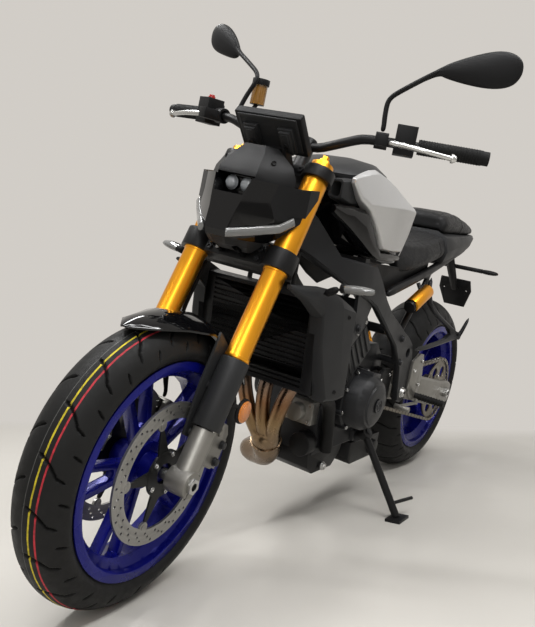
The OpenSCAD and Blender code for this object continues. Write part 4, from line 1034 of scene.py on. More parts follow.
class MOTORCYCLE_OT_fasteners(bpy.types.Operator):
    """Bolts of the engine, frame, clamps, brakes and wheels"""

    bl_idname = "motorcycle.fasteners"
    bl_label = "Fasteners"

    def group(self, name, body, slot, bolt, frame_matrix, places):
        lay_out(bolt, name, faced(frame_matrix, places), body, slot)

    def execute(self, context):
        covers = on_circle((690.0, 115.6, 372.0), 86.0, 8, -20.0, LEFT)
        covers += on_circle((650.0, -112.6, 372.0), 98.0, 8, 20.0, RIGHT)
        self.group("cover_bolts", "chassis", "bright_steel", socket_bolt(0.0055, 0.004), MACHINE, covers)
        mounts = both((((832.0, 141.0, 590.0), LEFT), ((516.0, 149.8, 474.0), LEFT),
                       ((536.0, 149.8, 548.0), LEFT)))
        self.group("engine_mount_bolts", "chassis", "dark_casting", hex_bolt(0.009, 0.007), MACHINE, mounts)
        pivots = both((((450.0, 149.8, 373.0), LEFT),))
        self.group("pivot_nuts", "chassis", "bright_steel", hex_bolt(0.014, 0.008), MACHINE, pivots)
        hangers = both((((352.0, 158.9, 468.0), LEFT), ((402.0, 158.9, 440.0), LEFT),
                        ((346.0, 158.9, 390.0), LEFT)))
        self.group("footrest_bolts", "chassis", "bright_steel", socket_bolt(0.006, 0.005), MACHINE, hangers)
        sprocket = (((520.0, 127.8, 430.0), LEFT), ((578.0, 127.8, 420.0), LEFT),
                    ((534.0, 127.8, 312.0), LEFT))
        self.group("sprocket_cover_bolts", "chassis", "bright_steel", socket_bolt(0.005, 0.004), MACHINE,
                   sprocket)
        corners = [((881.0, across, height), AHEAD) for across in (8.0, 76.0) for height in (320.0, 366.0)]
        self.group("cooler_bolts", "chassis", "bright_steel", socket_bolt(0.005, 0.004), MACHINE, corners)
        self.group("drain_bolt", "chassis", "bright_steel", hex_bolt(0.010, 0.008), MACHINE,
                   (((760.0, 84.2, 176.0), LEFT),))
        plugs = (((690.0, 182.6, 372.0), LEFT), ((650.0, -174.6, 372.0), RIGHT))
        plug_cap = turned_round(0.021, ((0.0, 0.003), (0.004, -0.0016), (0.006, 0.0022), (0.003, -0.002)),
                                36, "plug")
        self.group("cover_plugs", "chassis", "dark_casting", plug_cap, MACHINE, plugs)
        panels = both((((1034.0, 206.6, 640.0), (0.2, 1.0, 0.0)),
                       ((1034.0, 206.6, 462.0), (0.2, 1.0, 0.0))))
        self.group("shroud_screws", "chassis", "black_plastic", socket_bolt(0.005, 0.0025), MACHINE, panels)
        clamps = both((((12.5, 62.0, 481.0), AHEAD), ((12.5, 62.0, 503.0), AHEAD),
                       ((6.5, 66.0, 707.0), AHEAD)))
        self.group("clamp_bolts", "steering", "dark_casting", socket_bolt(0.006, 0.006), FORK, clamps)
        guards = both((((2.0, 75.3, 196.0), LEFT), ((-4.0, 75.3, 140.0), LEFT)))
        self.group("fender_bolts", "steering", "dark_casting", hex_bolt(0.008, 0.007), FORK, guards)
        calipers = both((((-80.0, 113.8, 60.0), LEFT), ((-80.0, 113.8, 97.0), LEFT)))
        self.group("caliper_bolts", "steering", "dark_casting", hex_bolt(0.008, 0.008), FORK, calipers)
        visor = both((((1249.0, 59.5, 944.0), (0.66, 0.68, 0.30)),))
        self.group("visor_screws", "steering", "matte_black_metal", socket_bolt(0.0055, 0.003), TURNED,
                   visor)
        carriers = on_circle((0.0, 64.3, 0.0), 42.0, 5, 36.0, LEFT)
        carriers += on_circle((0.0, -64.3, 0.0), 42.0, 5, 36.0, RIGHT)
        self.group("carrier_bolts", "front_wheel", "bright_steel", socket_bolt(0.0055, 0.004), FRONT_HUB,
                   carriers)
        rear = on_circle((0.0, -88.3, 0.0), 42.0, 5, 36.0, RIGHT)
        rear += on_circle((0.0, 105.8, 0.0), 50.0, 6, 30.0, LEFT)
        self.group("rear_hub_bolts", "rear_wheel", "bright_steel", socket_bolt(0.0055, 0.004), REAR_HUB,
                   rear)
        return {"FINISHED"}


# Fittings of the left fork leg, in the fork's millimetres
SEAL_AT = (-7.0, 105.0, 233.0)
FORK_TOP_AT = (-7.0, 105.0, 742.8)
REFLECTOR_AT = (-80.0, 126.0, 178.0)
REFLECTOR_FACE_AT = (-80.0, 133.0, 178.0)
REFLECTOR_ARM_AT = (-30.0, 124.0, 180.0)


class MOTORCYCLE_OT_fork_fittings(bpy.types.Operator):
    """Seals, adjusters and side reflectors of the fork"""

    bl_idname = "motorcycle.fork_fittings"
    bl_label = "Fork fittings"

    def execute(self, context):
        seal = turned_round(0.0258, ((0.0, 0.004), (0.0008, 0.006)), 48, "seal")
        lay_out(seal, "fork_seals", pair(FORK, SEAL_AT, UP), "steering", "rubber")
        cap = turned_round(0.012, ((0.0, 0.005), (0.004, 0.009), (0.003, -0.002)), 24, "cap")
        lay_out(cap, "fork_adjusters", pair(FORK, FORK_TOP_AT, UP), "steering", "gold_anodised")
        cup = turned_round(0.0275, ((0.0, 0.005), (0.0025, 0.002)), 40, "cup")
        lay_out(cup, "reflector_cups", pair(FORK, REFLECTOR_AT, LEFT), "steering", "black_plastic")
        face = turned_round(0.0238, ((0.0, 0.002), (0.004, 0.0012), (0.006, 0.0008)), 40, "face")
        lay_out(face, "reflector_faces", pair(FORK, REFLECTOR_FACE_AT, LEFT), "steering", "amber_plastic")
        arm = turned_round(0.005, ((0.0, 0.052), (0.001, 0.002)), 12, "arm")
        lay_out(arm, "reflector_arms", pair(FORK, REFLECTOR_ARM_AT, (-1.0, 0.08, 0.0)), "steering",
                "black_plastic")
        return {"FINISHED"}


def rib_ring(radius, half_width):
    """A soft rib round a grip, flattened from a ring."""
    piece = begin(bpy.ops.mesh.primitive_torus_add, "rib", major_segments=28, minor_segments=8,
                  major_radius=radius, minor_radius=half_width)
    edit_all(piece)
    bpy.ops.transform.resize(value=(1.0, 1.0, 0.8))
    close_edit()
    smooth_by_angle(piece, 60.0)
    return piece


# Controls in a bar end's millimetres, then the ribs of the grips and of the footrests' rubbers
LEVER_END_AT = (16.0, -46.0, 166.0)
BUTTONS_AT = ((-24.0, 20.0, 56.0), (-24.0, 20.0, 78.0), (6.0, 20.0, 68.0))
STOP_SWITCH_AT = (-38.0, -4.0, 70.0)
GRIP_START = 102.0
GRIP_PITCH = 5.6
GRIP_RIBS = 23
PEG_RIB_START = 176.0
PEG_RIB_PITCH = 9.0
PEG_RIBS = 9


class MOTORCYCLE_OT_controls(bpy.types.Operator):
    """Grip ribs, lever ends, switch buttons and footrest ribs"""

    bl_idname = "motorcycle.controls"
    bl_label = "Controls"

    def execute(self, context):
        ends = (bar_frame(1), bar_frame(-1))
        along = [(0.0, 0.0, GRIP_START + GRIP_PITCH * number) for number in range(GRIP_RIBS)]
        rows = [facing(end, place, UP) for end in ends for place in along]
        lay_out(rib_ring(0.0152, 0.0018), "grip_ribs", rows, "steering", "rubber")
        ball = turned_round(0.0095, ((0.0, 0.006), (0.002, 0.004), (0.003, 0.002)), 24, "ball")
        rows = [facing(end, LEVER_END_AT, (0.0, 0.05, 1.0)) for end in ends]
        lay_out(ball, "lever_ends", rows, "steering", "bright_steel")
        button = turned_round(0.0075, ((0.0, 0.004), (0.0015, 0.002)), 24, "button")
        rows = [facing(end, place, (0.0, 1.0, 0.0)) for end in ends for place in BUTTONS_AT]
        lay_out(button, "switch_buttons", rows, "steering", "grey_plastic")
        stop = turned_round(0.009, ((0.0, 0.005), (0.002, 0.004), (0.002, -0.001)), 24, "stop")
        rows = [facing(ends[1], STOP_SWITCH_AT, (-1.0, 0.0, 0.0))]
        lay_out(stop, "stop_switch", rows, "steering", "red_lens")
        across = [PEG_RIB_START + PEG_RIB_PITCH * number for number in range(PEG_RIBS)]
        rows = [facing(MACHINE, (PEG_AT[0], side * place, PEG_AT[1]), LEFT)
                for side in (1.0, -1.0) for place in across]
        lay_out(rib_ring(0.0098, 0.0022), "footrest_ribs", rows, "chassis", "rubber")
        return {"FINISHED"}


class MOTORCYCLE_OT_exhaust(bpy.types.Operator):
    """Flanges and collector band of the exhaust"""

    bl_idname = "motorcycle.exhaust"
    bl_label = "Exhaust"

    def execute(self, context):
        flange = turned_round(0.030, ((0.0, 0.006), (0.005, 0.003)), 28, "flange")
        rows = [facing(MACHINE, (891.5, y, 508.7), (0.766, 0.0, -0.643)) for y in (-78.0, 0.0, 78.0)]
        lay_out(flange, "exhaust_flanges", rows, "chassis", "bright_steel")
        band = turned_round(0.0425, ((0.0, 0.003), (0.0012, 0.004), (0.0008, 0.002)), 48, "band")
        rows = [facing(MACHINE, (934.0, -7.3, 253.0), (-0.48, -0.1, -0.87))]
        lay_out(band, "collector_bands", rows, "chassis", "heat_tinted_steel")
        return {"FINISHED"}


# Sprockets in side view, with their pitch radius, then the chain's place across and its links
CHAIN_BIG = (0.0, 316.93, 114.0)
CHAIN_SMALL = (545.0, 375.0, 41.0)
CHAIN_ACROSS = 103.0
CHAIN_LINKS = 100
# A link's side plate: its end's radius in metres, its points, its waist's share and its thickness
PLATE_RADIUS = 0.0064
PLATE_POINTS = 12
PLATE_WAIST = 0.78
PLATE_THICK = 0.0016
# Places of the plates and of the pins' ends across the chain, in millimetres
OUTER_PLATES = (7.4, -5.8)
INNER_PLATES = (5.4, -3.8)
PIN_START = 7.8


def chain_route():
    """Points of the chain's pitch line in the machine's side view, round both sprockets."""
    slope = math.atan2(CHAIN_SMALL[1] - CHAIN_BIG[1], CHAIN_SMALL[0])
    gap = math.hypot(CHAIN_SMALL[0], CHAIN_SMALL[1] - CHAIN_BIG[1])
    wrap = math.asin((CHAIN_BIG[2] - CHAIN_SMALL[2]) / gap)
    route = []
    for centre_x, centre_z, radius, first, last in (
            CHAIN_BIG + (slope + math.pi / 2 - wrap, slope + 3 * math.pi / 2 + wrap),
            CHAIN_SMALL + (slope - math.pi / 2 + wrap, slope + math.pi / 2 - wrap)):
        for step in range(61):
            angle = first + (last - first) * step / 60.0
            route.append(Vector((centre_x + radius * math.cos(angle), 0.0,
                                 centre_z + radius * math.sin(angle))))
    return route + [route[0].copy()]


def even_points(route, count):
    """Points at equal distances along a closed route."""
    lengths = [(after - before).length for before, after in zip(route, route[1:])]
    step = sum(lengths) / count
    points = []
    walked = 0.0
    for before, after, length in zip(route, route[1:], lengths):
        while len(points) < count and len(points) * step <= walked + length + 1e-9:
            share = (len(points) * step - walked) / max(length, 1e-9)
            points.append(before.lerp(after, share))
        walked += length
    return points


def chain_plate(pitch):
    """One side plate of a link: a disc drawn out to the next pin and given its thickness."""
    piece = begin(bpy.ops.mesh.primitive_circle_add, "link", vertices=PLATE_POINTS,
                  radius=PLATE_RADIUS, fill_type="NGON")
    for vertex in piece.data.vertices:
        if vertex.co.x > 0.0001:
            vertex.co.x += pitch
        elif vertex.co.x > -0.0001:
            vertex.co.x += pitch * 0.5
            vertex.co.y *= PLATE_WAIST
    edit_all(piece)
    bpy.ops.mesh.extrude_region_move(TRANSFORM_OT_translate={"value": (0.0, 0.0, PLATE_THICK)})
    bpy.ops.mesh.select_all(action="SELECT")
    bpy.ops.mesh.normals_make_consistent(inside=False)
    close_edit()
    return piece


class MOTORCYCLE_OT_chain(bpy.types.Operator):
    """Drive chain of separate links with pins and rollers"""

    bl_idname = "motorcycle.chain"
    bl_label = "Drive chain"

    def execute(self, context):
        points = even_points(chain_route(), CHAIN_LINKS)
        pitch = (points[1] - points[0]).length * MM
        plates = []
        pins = []
        for number, start in enumerate(points):
            end = points[(number + 1) % CHAIN_LINKS]
            along = (end - start).normalized()
            up = Vector(LEFT).cross(along)
            turn = Matrix((along, -up, Vector(RIGHT))).transposed()
            offsets = OUTER_PLATES if number % 2 == 0 else INNER_PLATES
            for across in offsets:
                place = Matrix.Translation(Vector((start.x, CHAIN_ACROSS + across, start.z)) * MM)
                plates.append(MACHINE @ place @ turn.to_4x4())
            pins.append(facing(MACHINE, (start.x, CHAIN_ACROSS - PIN_START, start.z), LEFT))
        links = scatter(chain_plate(pitch), "chain_plates", plates)
        smooth_by_angle(links, 30.0)
        settle(links, MATERIALS["chain_steel"], "chassis", "chain_steel", "drive_chain")
        pin = turned_round(0.0028, ((0.0, 0.004), (-0.0020, 0.0076), (0.0020, 0.004)), 10, "pin")
        rollers = scatter(pin, "chain_pins", pins)
        settle(rollers, MATERIALS["bright_steel"], "chassis", "bright_steel")
        return {"FINISHED"}


def cut_lens(node, name, keep, plane, way, slot):
    """A lens shell: the part of a lamp's solid ahead of a plane, closed and swollen a little."""
    piece = copied(node, name)
    apply_modifier(piece, "SUBSURF", levels=1, render_levels=1)
    slim_indicators(piece)
    to_machine = MACHINE.inverted()
    edit_all(piece)
    bpy.ops.mesh.bisect(plane_co=spot(MACHINE, *plane), plane_no=MACHINE.to_3x3() @ Vector(way),
                        use_fill=True, clear_inner=True)
    close_edit()
    pick(piece)
    bpy.ops.object.mode_set(mode="EDIT")
    bpy.ops.mesh.select_mode(type="VERT")
    bpy.ops.mesh.select_all(action="DESELECT")
    bpy.ops.object.mode_set(mode="OBJECT")
    for vertex in piece.data.vertices:
        vertex.select = not keep(to_machine @ vertex.co / MM)
    bpy.ops.object.mode_set(mode="EDIT")
    bpy.ops.mesh.delete(type="VERT")
    bpy.ops.mesh.select_all(action="SELECT")
    bpy.ops.mesh.normals_make_consistent(inside=False)
    bpy.ops.transform.shrink_fatten(value=0.0009)
    close_edit()
    smooth_by_angle(piece, SHARP)
    settle(piece, MATERIALS[slot], frame["nodes"][node]["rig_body"], slot)


class MOTORCYCLE_OT_lamps(bpy.types.Operator):
    """Indicator lenses"""

    bl_idname = "motorcycle.lamps"
    bl_label = "Lamps"

    def execute(self, context):
        for hand, side in (("left", 1.0), ("right", -1.0)):
            cut_lens("indicators", "front_indicator_lens_" + hand,
                     lambda place, side=side: place.x > 1000.0 and place.y * side > 230.0,
                     (1135.0, 262.0 * side, 716.0), (1.0, 0.2 * side, 0.0), "clear_lens")
        cut_lens("indicators", "rear_indicator_lenses", lambda place: place.x < -200.0,
                 (-214.0, 0.0, 764.0), (-1.0, 0.0, 0.0), "amber_plastic")
        return {"FINISHED"}


# Middle of the light strip on one side: distance across and height, in the turned frame's millimetres
STRIP_PATH = ((30.0, 787.0), (64.0, 799.0), (103.0, 815.0), (123.0, 834.0))
# How much taller the strips are drawn, and how far they stand out ahead and sideways in millimetres
STRIP_TALLER = 1.6
STRIP_AHEAD = 1.5
STRIP_ASIDE = 1.0


def strip_height(across):
    """Height of the light strip's middle at a distance from the machine's centre."""
    for (near, low), (far, high) in zip(STRIP_PATH, STRIP_PATH[1:]):
        if across <= far:
            return low + (high - low) * (across - near) / (far - near)
    return STRIP_PATH[-1][1]


class MOTORCYCLE_OT_light_strips(bpy.types.Operator):
    """Running light strips, drawn tall across the cowl's cheeks"""

    bl_idname = "motorcycle.light_strips"
    bl_label = "Light strips"

    def execute(self, context):
        piece = copied("lamp_strips", "light_strips")
        back = TURNED.inverted()
        for vertex in piece.data.vertices:
            place = back @ vertex.co / MM
            middle = strip_height(abs(place.y))
            place.z = middle + (place.z - middle) * STRIP_TALLER
            place.x += STRIP_AHEAD
            place.y += math.copysign(STRIP_ASIDE, place.y)
            vertex.co = spot(TURNED, *place)
        round_edges(piece, 1.2 * MM)
        smooth_by_angle(piece, SHARP)
        settle(piece, MATERIALS["clear_lens"], "steering", "clear_lens", "lamp_strips")
        return {"FINISHED"}


# Mirror glass: its plane's set in millimetres, and its rim and sink in metres
GLASS_SET = 4.0
GLASS_RIM = 0.0035
GLASS_SINK = 0.0012


class MOTORCYCLE_OT_mirrors(bpy.types.Operator):
    """Mirrors with rounded shells and flat glass"""

    bl_idname = "motorcycle.mirrors"
    bl_label = "Mirrors"

    def flat_glass(self, piece, middle, way, side, start):
        back = TURNED.inverted()
        select_faces(piece, lambda face, normal: (back @ face / MM).y * side > start)
        normal = Vector(way).normalized()
        bpy.ops.mesh.bisect(plane_co=spot(TURNED, *(Vector(middle) + normal * GLASS_SET)),
                            plane_no=TURNED.to_3x3() @ normal, use_fill=True, clear_outer=True)
        bpy.ops.mesh.inset(thickness=GLASS_RIM, depth=-GLASS_SINK)
        piece.active_material_index = 1
        bpy.ops.object.material_slot_assign()
        close_edit()

    def execute(self, context):
        piece = copied("mirrors", "mirror_shells")
        apply_modifier(piece, "SUBSURF", levels=2, render_levels=2)
        settle(piece, MATERIALS["black_plastic"], "steering", SLOTS["mirrors"], "mirrors")
        piece.data.materials.append(MATERIALS["mirror_glass"])
        self.flat_glass(piece, (1046.0, 366.0, 1214.0), (-0.938, -0.338, -0.072), 1.0, 306.0)
        self.flat_glass(piece, (1004.0, -286.0, 1234.0), (-0.939, 0.221, -0.093), -1.0, 244.0)
        smooth_by_angle(piece, SHARP)
        return {"FINISHED"}


DISPLAY = TURNED @ Matrix.Translation(Vector((1178.0, 0.0,
                                              1015.0)) * MM) @ Matrix.Rotation(math.radians(-44.0), 4, "Y")


def plate(name, frame_matrix, middle, size, steps, bevel):
    """A moulded plate: a box whose top is stepped by insets and extrudes, with rounded edges."""
    piece = begin(bpy.ops.mesh.primitive_cube_add, name, size=1.0)
    edit_all(piece)
    bpy.ops.transform.resize(value=tuple(part * MM for part in size))
    close_edit()
    top = size[2] * MM * 0.5
    for inset, rise in steps:
        select_faces(piece, lambda face, normal: normal.z > 0.9 and abs(face.z - top) < 1e-6)
        bpy.ops.mesh.inset(thickness=inset * MM)
        bpy.ops.mesh.extrude_region_move(TRANSFORM_OT_translate={"value": (0.0, 0.0, rise * MM)})
        close_edit()
        top += rise * MM
    round_edges(piece, bevel * MM, segments=3)
    piece.data.transform(frame_matrix @ Matrix.Translation(Vector(middle) * MM))
    smooth_by_angle(piece, SHARP)
    return piece


class MOTORCYCLE_OT_display(bpy.types.Operator):
    """Screen and rear housing of the display"""

    bl_idname = "motorcycle.display"
    bl_label = "Display"

    def execute(self, context):
        glass = plate("display_glass", DISPLAY, (0.0, 0.0, 10.4), (92.0, 160.0, 1.6), ((4.0, 0.5),), 0.6)
        settle(glass, MATERIALS["screen"], "steering", "gloss_black")
        over = DISPLAY @ Matrix.Rotation(math.pi, 4, "Y")
        housing = plate("display_housing", over, (-4.0, 0.0, 11.5), (84.0, 148.0, 3.0), ((6.0, -1.2),), 0.8)
        settle(housing, MATERIALS["grey_plastic"], "steering", "grey_plastic")
        tower = plate("tower", Matrix.Identity(4), (0.0, 0.0, 15.0), (62.0, 36.0, 10.0),
                      ((5.0, 6.0), (4.0, 1.5)), 2.0)
        rows = [over @ Matrix.Translation(Vector((6.0, side * 44.0, 0.0)) * MM) for side in (-1.0, 1.0)]
        lay_out(tower, "display_towers", rows, "steering", "grey_plastic")
        rows = [facing(over, (14.0, side * 44.0, 27.4), (0.0, 0.0, 1.0)) for side in (-1.0, 1.0)]
        lay_out(socket_bolt(0.007, 0.003), "display_screws", rows, "steering", "matte_black_metal")
        return {"FINISHED"}


# Side cover: distance from the machine's middle, and its outline in side view, in millimetres
COVER_ACROSS = 96.0
COVER_OUTLINE = ((318.0, 782.0), (410.0, 765.0), (500.0, 749.0), (576.0, 752.0), (668.0, 755.0),
                 (760.0, 762.0),
                 (822.0, 771.0), (822.0, 734.0), (740.0, 690.0), (668.0, 662.0), (560.0, 690.0),
                 (430.0, 716.0),
                 (318.0, 744.0))


class MOTORCYCLE_OT_side_covers(bpy.types.Operator):
    """Black covers between the seat, the tank and the rails"""

    bl_idname = "motorcycle.side_covers"
    bl_label = "Side covers"

    def execute(self, context):
        cover = begin(bpy.ops.mesh.primitive_circle_add, "cover", vertices=len(COVER_OUTLINE), radius=0.1,
                      fill_type="NGON")
        for vertex, (x, z) in zip(cover.data.vertices, COVER_OUTLINE):
            vertex.co = spot(MACHINE, x, COVER_ACROSS, z)
        edit_all(cover)
        bpy.ops.mesh.inset(thickness=0.007, depth=-0.002)
        bpy.ops.mesh.inset(thickness=0.002, depth=0.0)
        close_edit()
        apply_modifier(cover, "SOLIDIFY", thickness=0.006, offset=0.0)
        face_outwards(cover)
        round_edges(cover, 0.0012)
        smooth_by_angle(cover, SHARP)
        mirror = MACHINE @ Matrix.Scale(-1.0, 4, (0.0, 1.0, 0.0)) @ MACHINE.inverted()
        covers = scatter(cover, "side_covers", [Matrix.Identity(4), mirror])
        settle(covers, MATERIALS["black_plastic"], "chassis", "black_plastic")
        return {"FINISHED"}


SHOCK_LOW = (395.0, 0.0, 415.5)
SHOCK_WAY = (0.6984, 0.0, 0.7157)
# The shock's spring: points round its wire, sizes in metres, its turns and the steps of each
SPRING_POINTS = 14
SPRING_WIRE = 0.0052
SPRING_RADIUS = 0.0258
SPRING_PITCH = 0.0215
SPRING_TURNS = 6
SPRING_STEPS = 36


class MOTORCYCLE_OT_rear_shock(bpy.types.Operator):
    """Rear shock with a wound spring between two collars"""

    bl_idname = "motorcycle.rear_shock"
    bl_label = "Rear shock"

    def execute(self, context):
        base = facing(MACHINE, SHOCK_LOW, SHOCK_WAY)
        body = turned_round(0.019, ((0.0, 0.120), (0.005, 0.060), (0.003, 0.006)), 40, "body")
        settle(scatter(body, "shock_body", [base]), MATERIALS["bright_steel"], "chassis",
               SLOTS["rear_shock"], "rear_shock")
        collar = turned_round(0.034, ((0.0, 0.005), (0.005, 0.004), (0.002, -0.002)), 48, "collar")
        rows = [base @ Matrix.Translation((0.0, 0.0, 0.022)),
                base @ Matrix.Translation((0.0, 0.0, 0.180)) @ Matrix.Rotation(math.pi, 4, "X")]
        lay_out(collar, "shock_collars", rows, "chassis", "matte_black_metal")
        spring = begin_ring("spring", SPRING_POINTS, SPRING_WIRE, SPRING_RADIUS)
        apply_modifier(spring, "SCREW", axis="Z", angle=math.tau, steps=SPRING_STEPS,
                       render_steps=SPRING_STEPS, iterations=SPRING_TURNS, screw_offset=SPRING_PITCH)
        edit_all(spring)
        bpy.ops.mesh.fill_holes(sides=0)
        bpy.ops.mesh.normals_make_consistent(inside=False)
        close_edit()
        smooth_by_angle(spring, 50.0)
        rows = [base @ Matrix.Translation((0.0, 0.0, 0.0365))]
        lay_out(spring, "shock_spring", rows, "chassis", "gold_anodised")
        return {"FINISHED"}


BLOCK_BASE = (745.0, 0.0, 470.0)
BLOCK_TILT = 40.0
BLOCK = MACHINE @ Matrix.Translation(Vector(BLOCK_BASE) * MM) @ Matrix.Rotation(math.radians(BLOCK_TILT), 4,
                                                                                "Y")


# Ribs and head bolts along the block's sides, in its millimetres
RIBS_ALONG = (-60.0, -36.0, -12.0, 12.0, 36.0, 60.0)
HEAD_BOLTS_ALONG = (-70.0, -24.0, 24.0, 70.0)


class MOTORCYCLE_OT_block_ribs(bpy.types.Operator):
    """Ribs and head bolts on both sides of the cylinder block"""

    bl_idname = "motorcycle.block_ribs"
    bl_label = "Block ribs"

    def execute(self, context):
        rib = plate("rib", Matrix.Identity(4), (0.0, 0.0, 0.0), (7.0, 84.0, 3.2), ((1.4, 0.8),), 0.7)
        rows = []
        for side in (-1.0, 1.0):
            for along in RIBS_ALONG:
                outward = Matrix.Rotation(math.radians(-90.0 * side), 4, "X")
                rows.append(BLOCK @ Matrix.Translation(Vector((along, side * 124.6, 50.0)) * MM) @ outward)
        lay_out(rib, "block_ribs", rows, "chassis", "dark_casting")
        bolts = []
        for side in (-1.0, 1.0):
            bolts += [facing(BLOCK, (along, side * 127.0, 112.0), (0.0, side, 0.0))
                      for along in HEAD_BOLTS_ALONG]
        lay_out(socket_bolt(0.0055, 0.0035), "head_bolts", bolts, "chassis", "bright_steel")
        return {"FINISHED"}


class MOTORCYCLE_OT_stage(bpy.types.Operator):
    """Pale floor, soft lamps and the camera"""

    bl_idname = "motorcycle.stage"
    bl_label = "Stage"

    def execute(self, context):
        scene = context.scene
        scene.view_settings.view_transform = "Standard"
        place_camera(scene)
        place_world(scene)
        floor = begin(bpy.ops.mesh.primitive_plane_add, "floor", size=FLOOR_SIZE)
        floor.data.materials.append(floor_material())
        power = sizes().lamp_power
        soft_lamp("lamp_left", (0.6, 1.3, 2.7), (0.3, 0.1, 0.3), (3.4, 0.16), power)
        soft_lamp("lamp_middle", (0.6, 0.1, 2.9), (0.3, 0.0, 0.3), (3.4, 0.16), power)
        soft_lamp("lamp_right", (0.6, -1.3, 2.7), (0.3, -0.1, 0.3), (3.4, 0.16), power)
        soft_lamp("lamp_front", (3.2, 1.6, 2.4), (0.3, 0.0, 0.5), (0.16, 2.6), power * 0.8)
        return {"FINISHED"}


# The photograph's camera: its place in metres, its angles and its lens; where the floor fades, and its size
CAMERA_AT = Vector((1.77112, 0.80795, 0.655))
CAMERA_YAW = math.radians(213.21)
CAMERA_PITCH = math.radians(-2.23)
CAMERA_ROLL = math.radians(0.98)
CAMERA_LENS = 40.08
FLOOR_END = 3.05
FLOOR_SIZE = 14.0


def view_axes():
    """Sight line, right and up of the photograph's camera."""
    flat = math.cos(CAMERA_PITCH)
    sight = Vector((math.cos(CAMERA_YAW) * flat, math.sin(CAMERA_YAW) * flat, math.sin(CAMERA_PITCH)))
    right = Vector((math.sin(CAMERA_YAW), -math.cos(CAMERA_YAW), 0.0))
    up = right.cross(sight)
    rolled = right * math.cos(CAMERA_ROLL) + up * math.sin(CAMERA_ROLL)
    upright = up * math.cos(CAMERA_ROLL) - right * math.sin(CAMERA_ROLL)
    return sight, rolled, upright


def place_camera(scene):
    sight, right, up = view_axes()
    data = bpy.data.cameras.new("camera")
    data.sensor_fit = "VERTICAL"
    data.sensor_height = 36.0
    data.lens = CAMERA_LENS
    data.clip_end = 60.0
    camera = bpy.data.objects.new("camera", data)
    scene.collection.objects.link(camera)
    turn = Matrix((right, up, -sight)).transposed().to_4x4()
    camera.matrix_world = Matrix.Translation(CAMERA_AT) @ turn
    scene.camera = camera


def place_world(scene):
    world = bpy.data.worlds.new("pale_room")
    world.use_nodes = True
    tree = world.node_tree
    tree.nodes.clear()
    out = shader_node(tree, "ShaderNodeOutputWorld")
    seen = shader_node(tree, "ShaderNodeBackground")
    seen.inputs["Color"].default_value = rgba(colours().wall_pale)
    seen.inputs["Strength"].default_value = 1.0
    light = shader_node(tree, "ShaderNodeBackground")
    light.inputs["Color"].default_value = (1.0, 0.985, 0.96, 1.0)
    light.inputs["Strength"].default_value = 0.24
    path = shader_node(tree, "ShaderNodeLightPath")
    shown = calc(tree, "MAXIMUM", path.outputs["Is Camera Ray"], path.outputs["Is Glossy Ray"])
    shown = calc(tree, "MAXIMUM", shown, path.outputs["Is Transmission Ray"])
    blend_shaders(tree, shown, light.outputs[0], seen.outputs[0], out)
    scene.world = world


def floor_material():
    """Pale mat floor that fades into the backdrop behind the machine."""
    material, tree, shader = new_material("pale_floor")
    paint = colours()
    place = object_place(tree)
    tone = mix_colour(tree, cloud(tree, place, 1.4, 4.0), rgba(paint.floor_pale, 0.97),
                      rgba(paint.floor_pale, 1.03))
    tree.links.new(tone, shader.inputs["Base Color"])
    tree.links.new(spread(tree, cloud(tree, place, 5.0, 4.0), 0.5, 0.7), shader.inputs["Roughness"])
    relief(tree, shader, cloud(tree, place, 180.0, 3.0), 0.05, 0.001)
    sight, _, _ = view_axes()
    level = Vector((sight.x, sight.y, 0.0)).normalized()
    along = shader_node(tree, "ShaderNodeVectorMath", operation="DOT_PRODUCT")
    tree.links.new(place, along.inputs[0])
    along.inputs[1].default_value = level
    depth = calc(tree, "SUBTRACT", along.outputs["Value"], CAMERA_AT.dot(level))
    fade = spread(tree, depth, 0.0, 1.0, FLOOR_END, FLOOR_END + 0.25)
    wall = shader_node(tree, "ShaderNodeEmission")
    wall.inputs["Color"].default_value = rgba(paint.wall_pale)
    blend_shaders(tree, fade, shader.outputs[0], wall.outputs[0], tree.nodes["Material Output"])
    return material


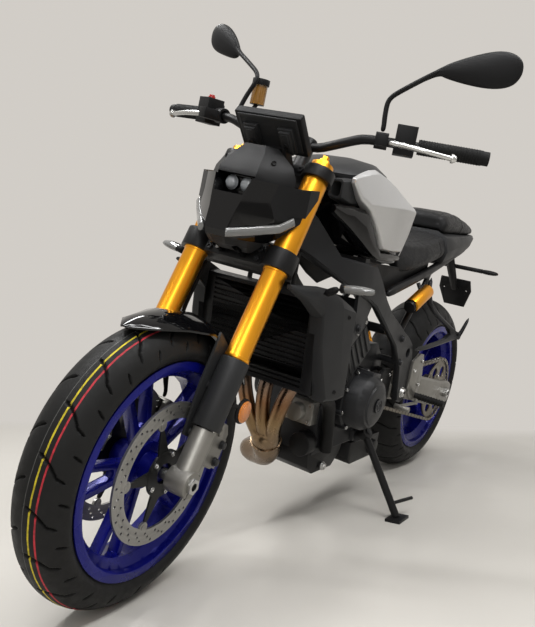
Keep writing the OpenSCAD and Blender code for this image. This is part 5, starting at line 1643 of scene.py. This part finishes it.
def soft_lamp(name, place, target, size, power):
    data = bpy.data.lights.new(name, "AREA")
    data.shape = "RECTANGLE"
    data.size = size[0]
    data.size_y = size[1]
    data.energy = power
    lamp = bpy.data.objects.new(name, data)
    bpy.context.scene.collection.objects.link(lamp)
    way = Vector(target) - Vector(place)
    turn = way.to_track_quat("-Z", "Y").to_matrix().to_4x4()
    lamp.matrix_world = Matrix.Translation(Vector(place)) @ turn


OPERATORS = (
    MOTORCYCLE_OT_stage, MOTORCYCLE_OT_finishes, MOTORCYCLE_OT_edges, MOTORCYCLE_OT_tyres,
             MOTORCYCLE_OT_seats,
    MOTORCYCLE_OT_fasteners, MOTORCYCLE_OT_fork_fittings, MOTORCYCLE_OT_controls, MOTORCYCLE_OT_exhaust,
    MOTORCYCLE_OT_chain, MOTORCYCLE_OT_lamps,
    MOTORCYCLE_OT_light_strips, MOTORCYCLE_OT_mirrors, MOTORCYCLE_OT_display, MOTORCYCLE_OT_side_covers,
    MOTORCYCLE_OT_rear_shock, MOTORCYCLE_OT_block_ribs,
)


class MOTORCYCLE_PT_panel(bpy.types.Panel):
    """The motorcycle's pieces, in the order that they are made"""

    bl_label = "Motorcycle"
    bl_idname = "MOTORCYCLE_PT_panel"
    bl_space_type = "VIEW_3D"
    bl_region_type = "UI"
    bl_category = "Motorcycle"

    def draw(self, context):
        for operator in OPERATORS:
            self.layout.operator(operator.bl_idname)


CLASSES = (MotorcycleColours, MotorcycleSizes) + OPERATORS + (MOTORCYCLE_PT_panel,)


def register():
    for entry in CLASSES:
        bpy.utils.register_class(entry)
    bpy.types.Scene.motorcycle_colours = PointerProperty(type=MotorcycleColours)
    bpy.types.Scene.motorcycle_sizes = PointerProperty(type=MotorcycleSizes)


def unregister():
    del bpy.types.Scene.motorcycle_sizes
    del bpy.types.Scene.motorcycle_colours
    for entry in reversed(CLASSES):
        bpy.utils.unregister_class(entry)


def main():
    register()
    for operator in OPERATORS:
        getattr(bpy.ops.motorcycle, operator.bl_idname.partition(".")[2])()


if __name__ == "__main__":
    main()
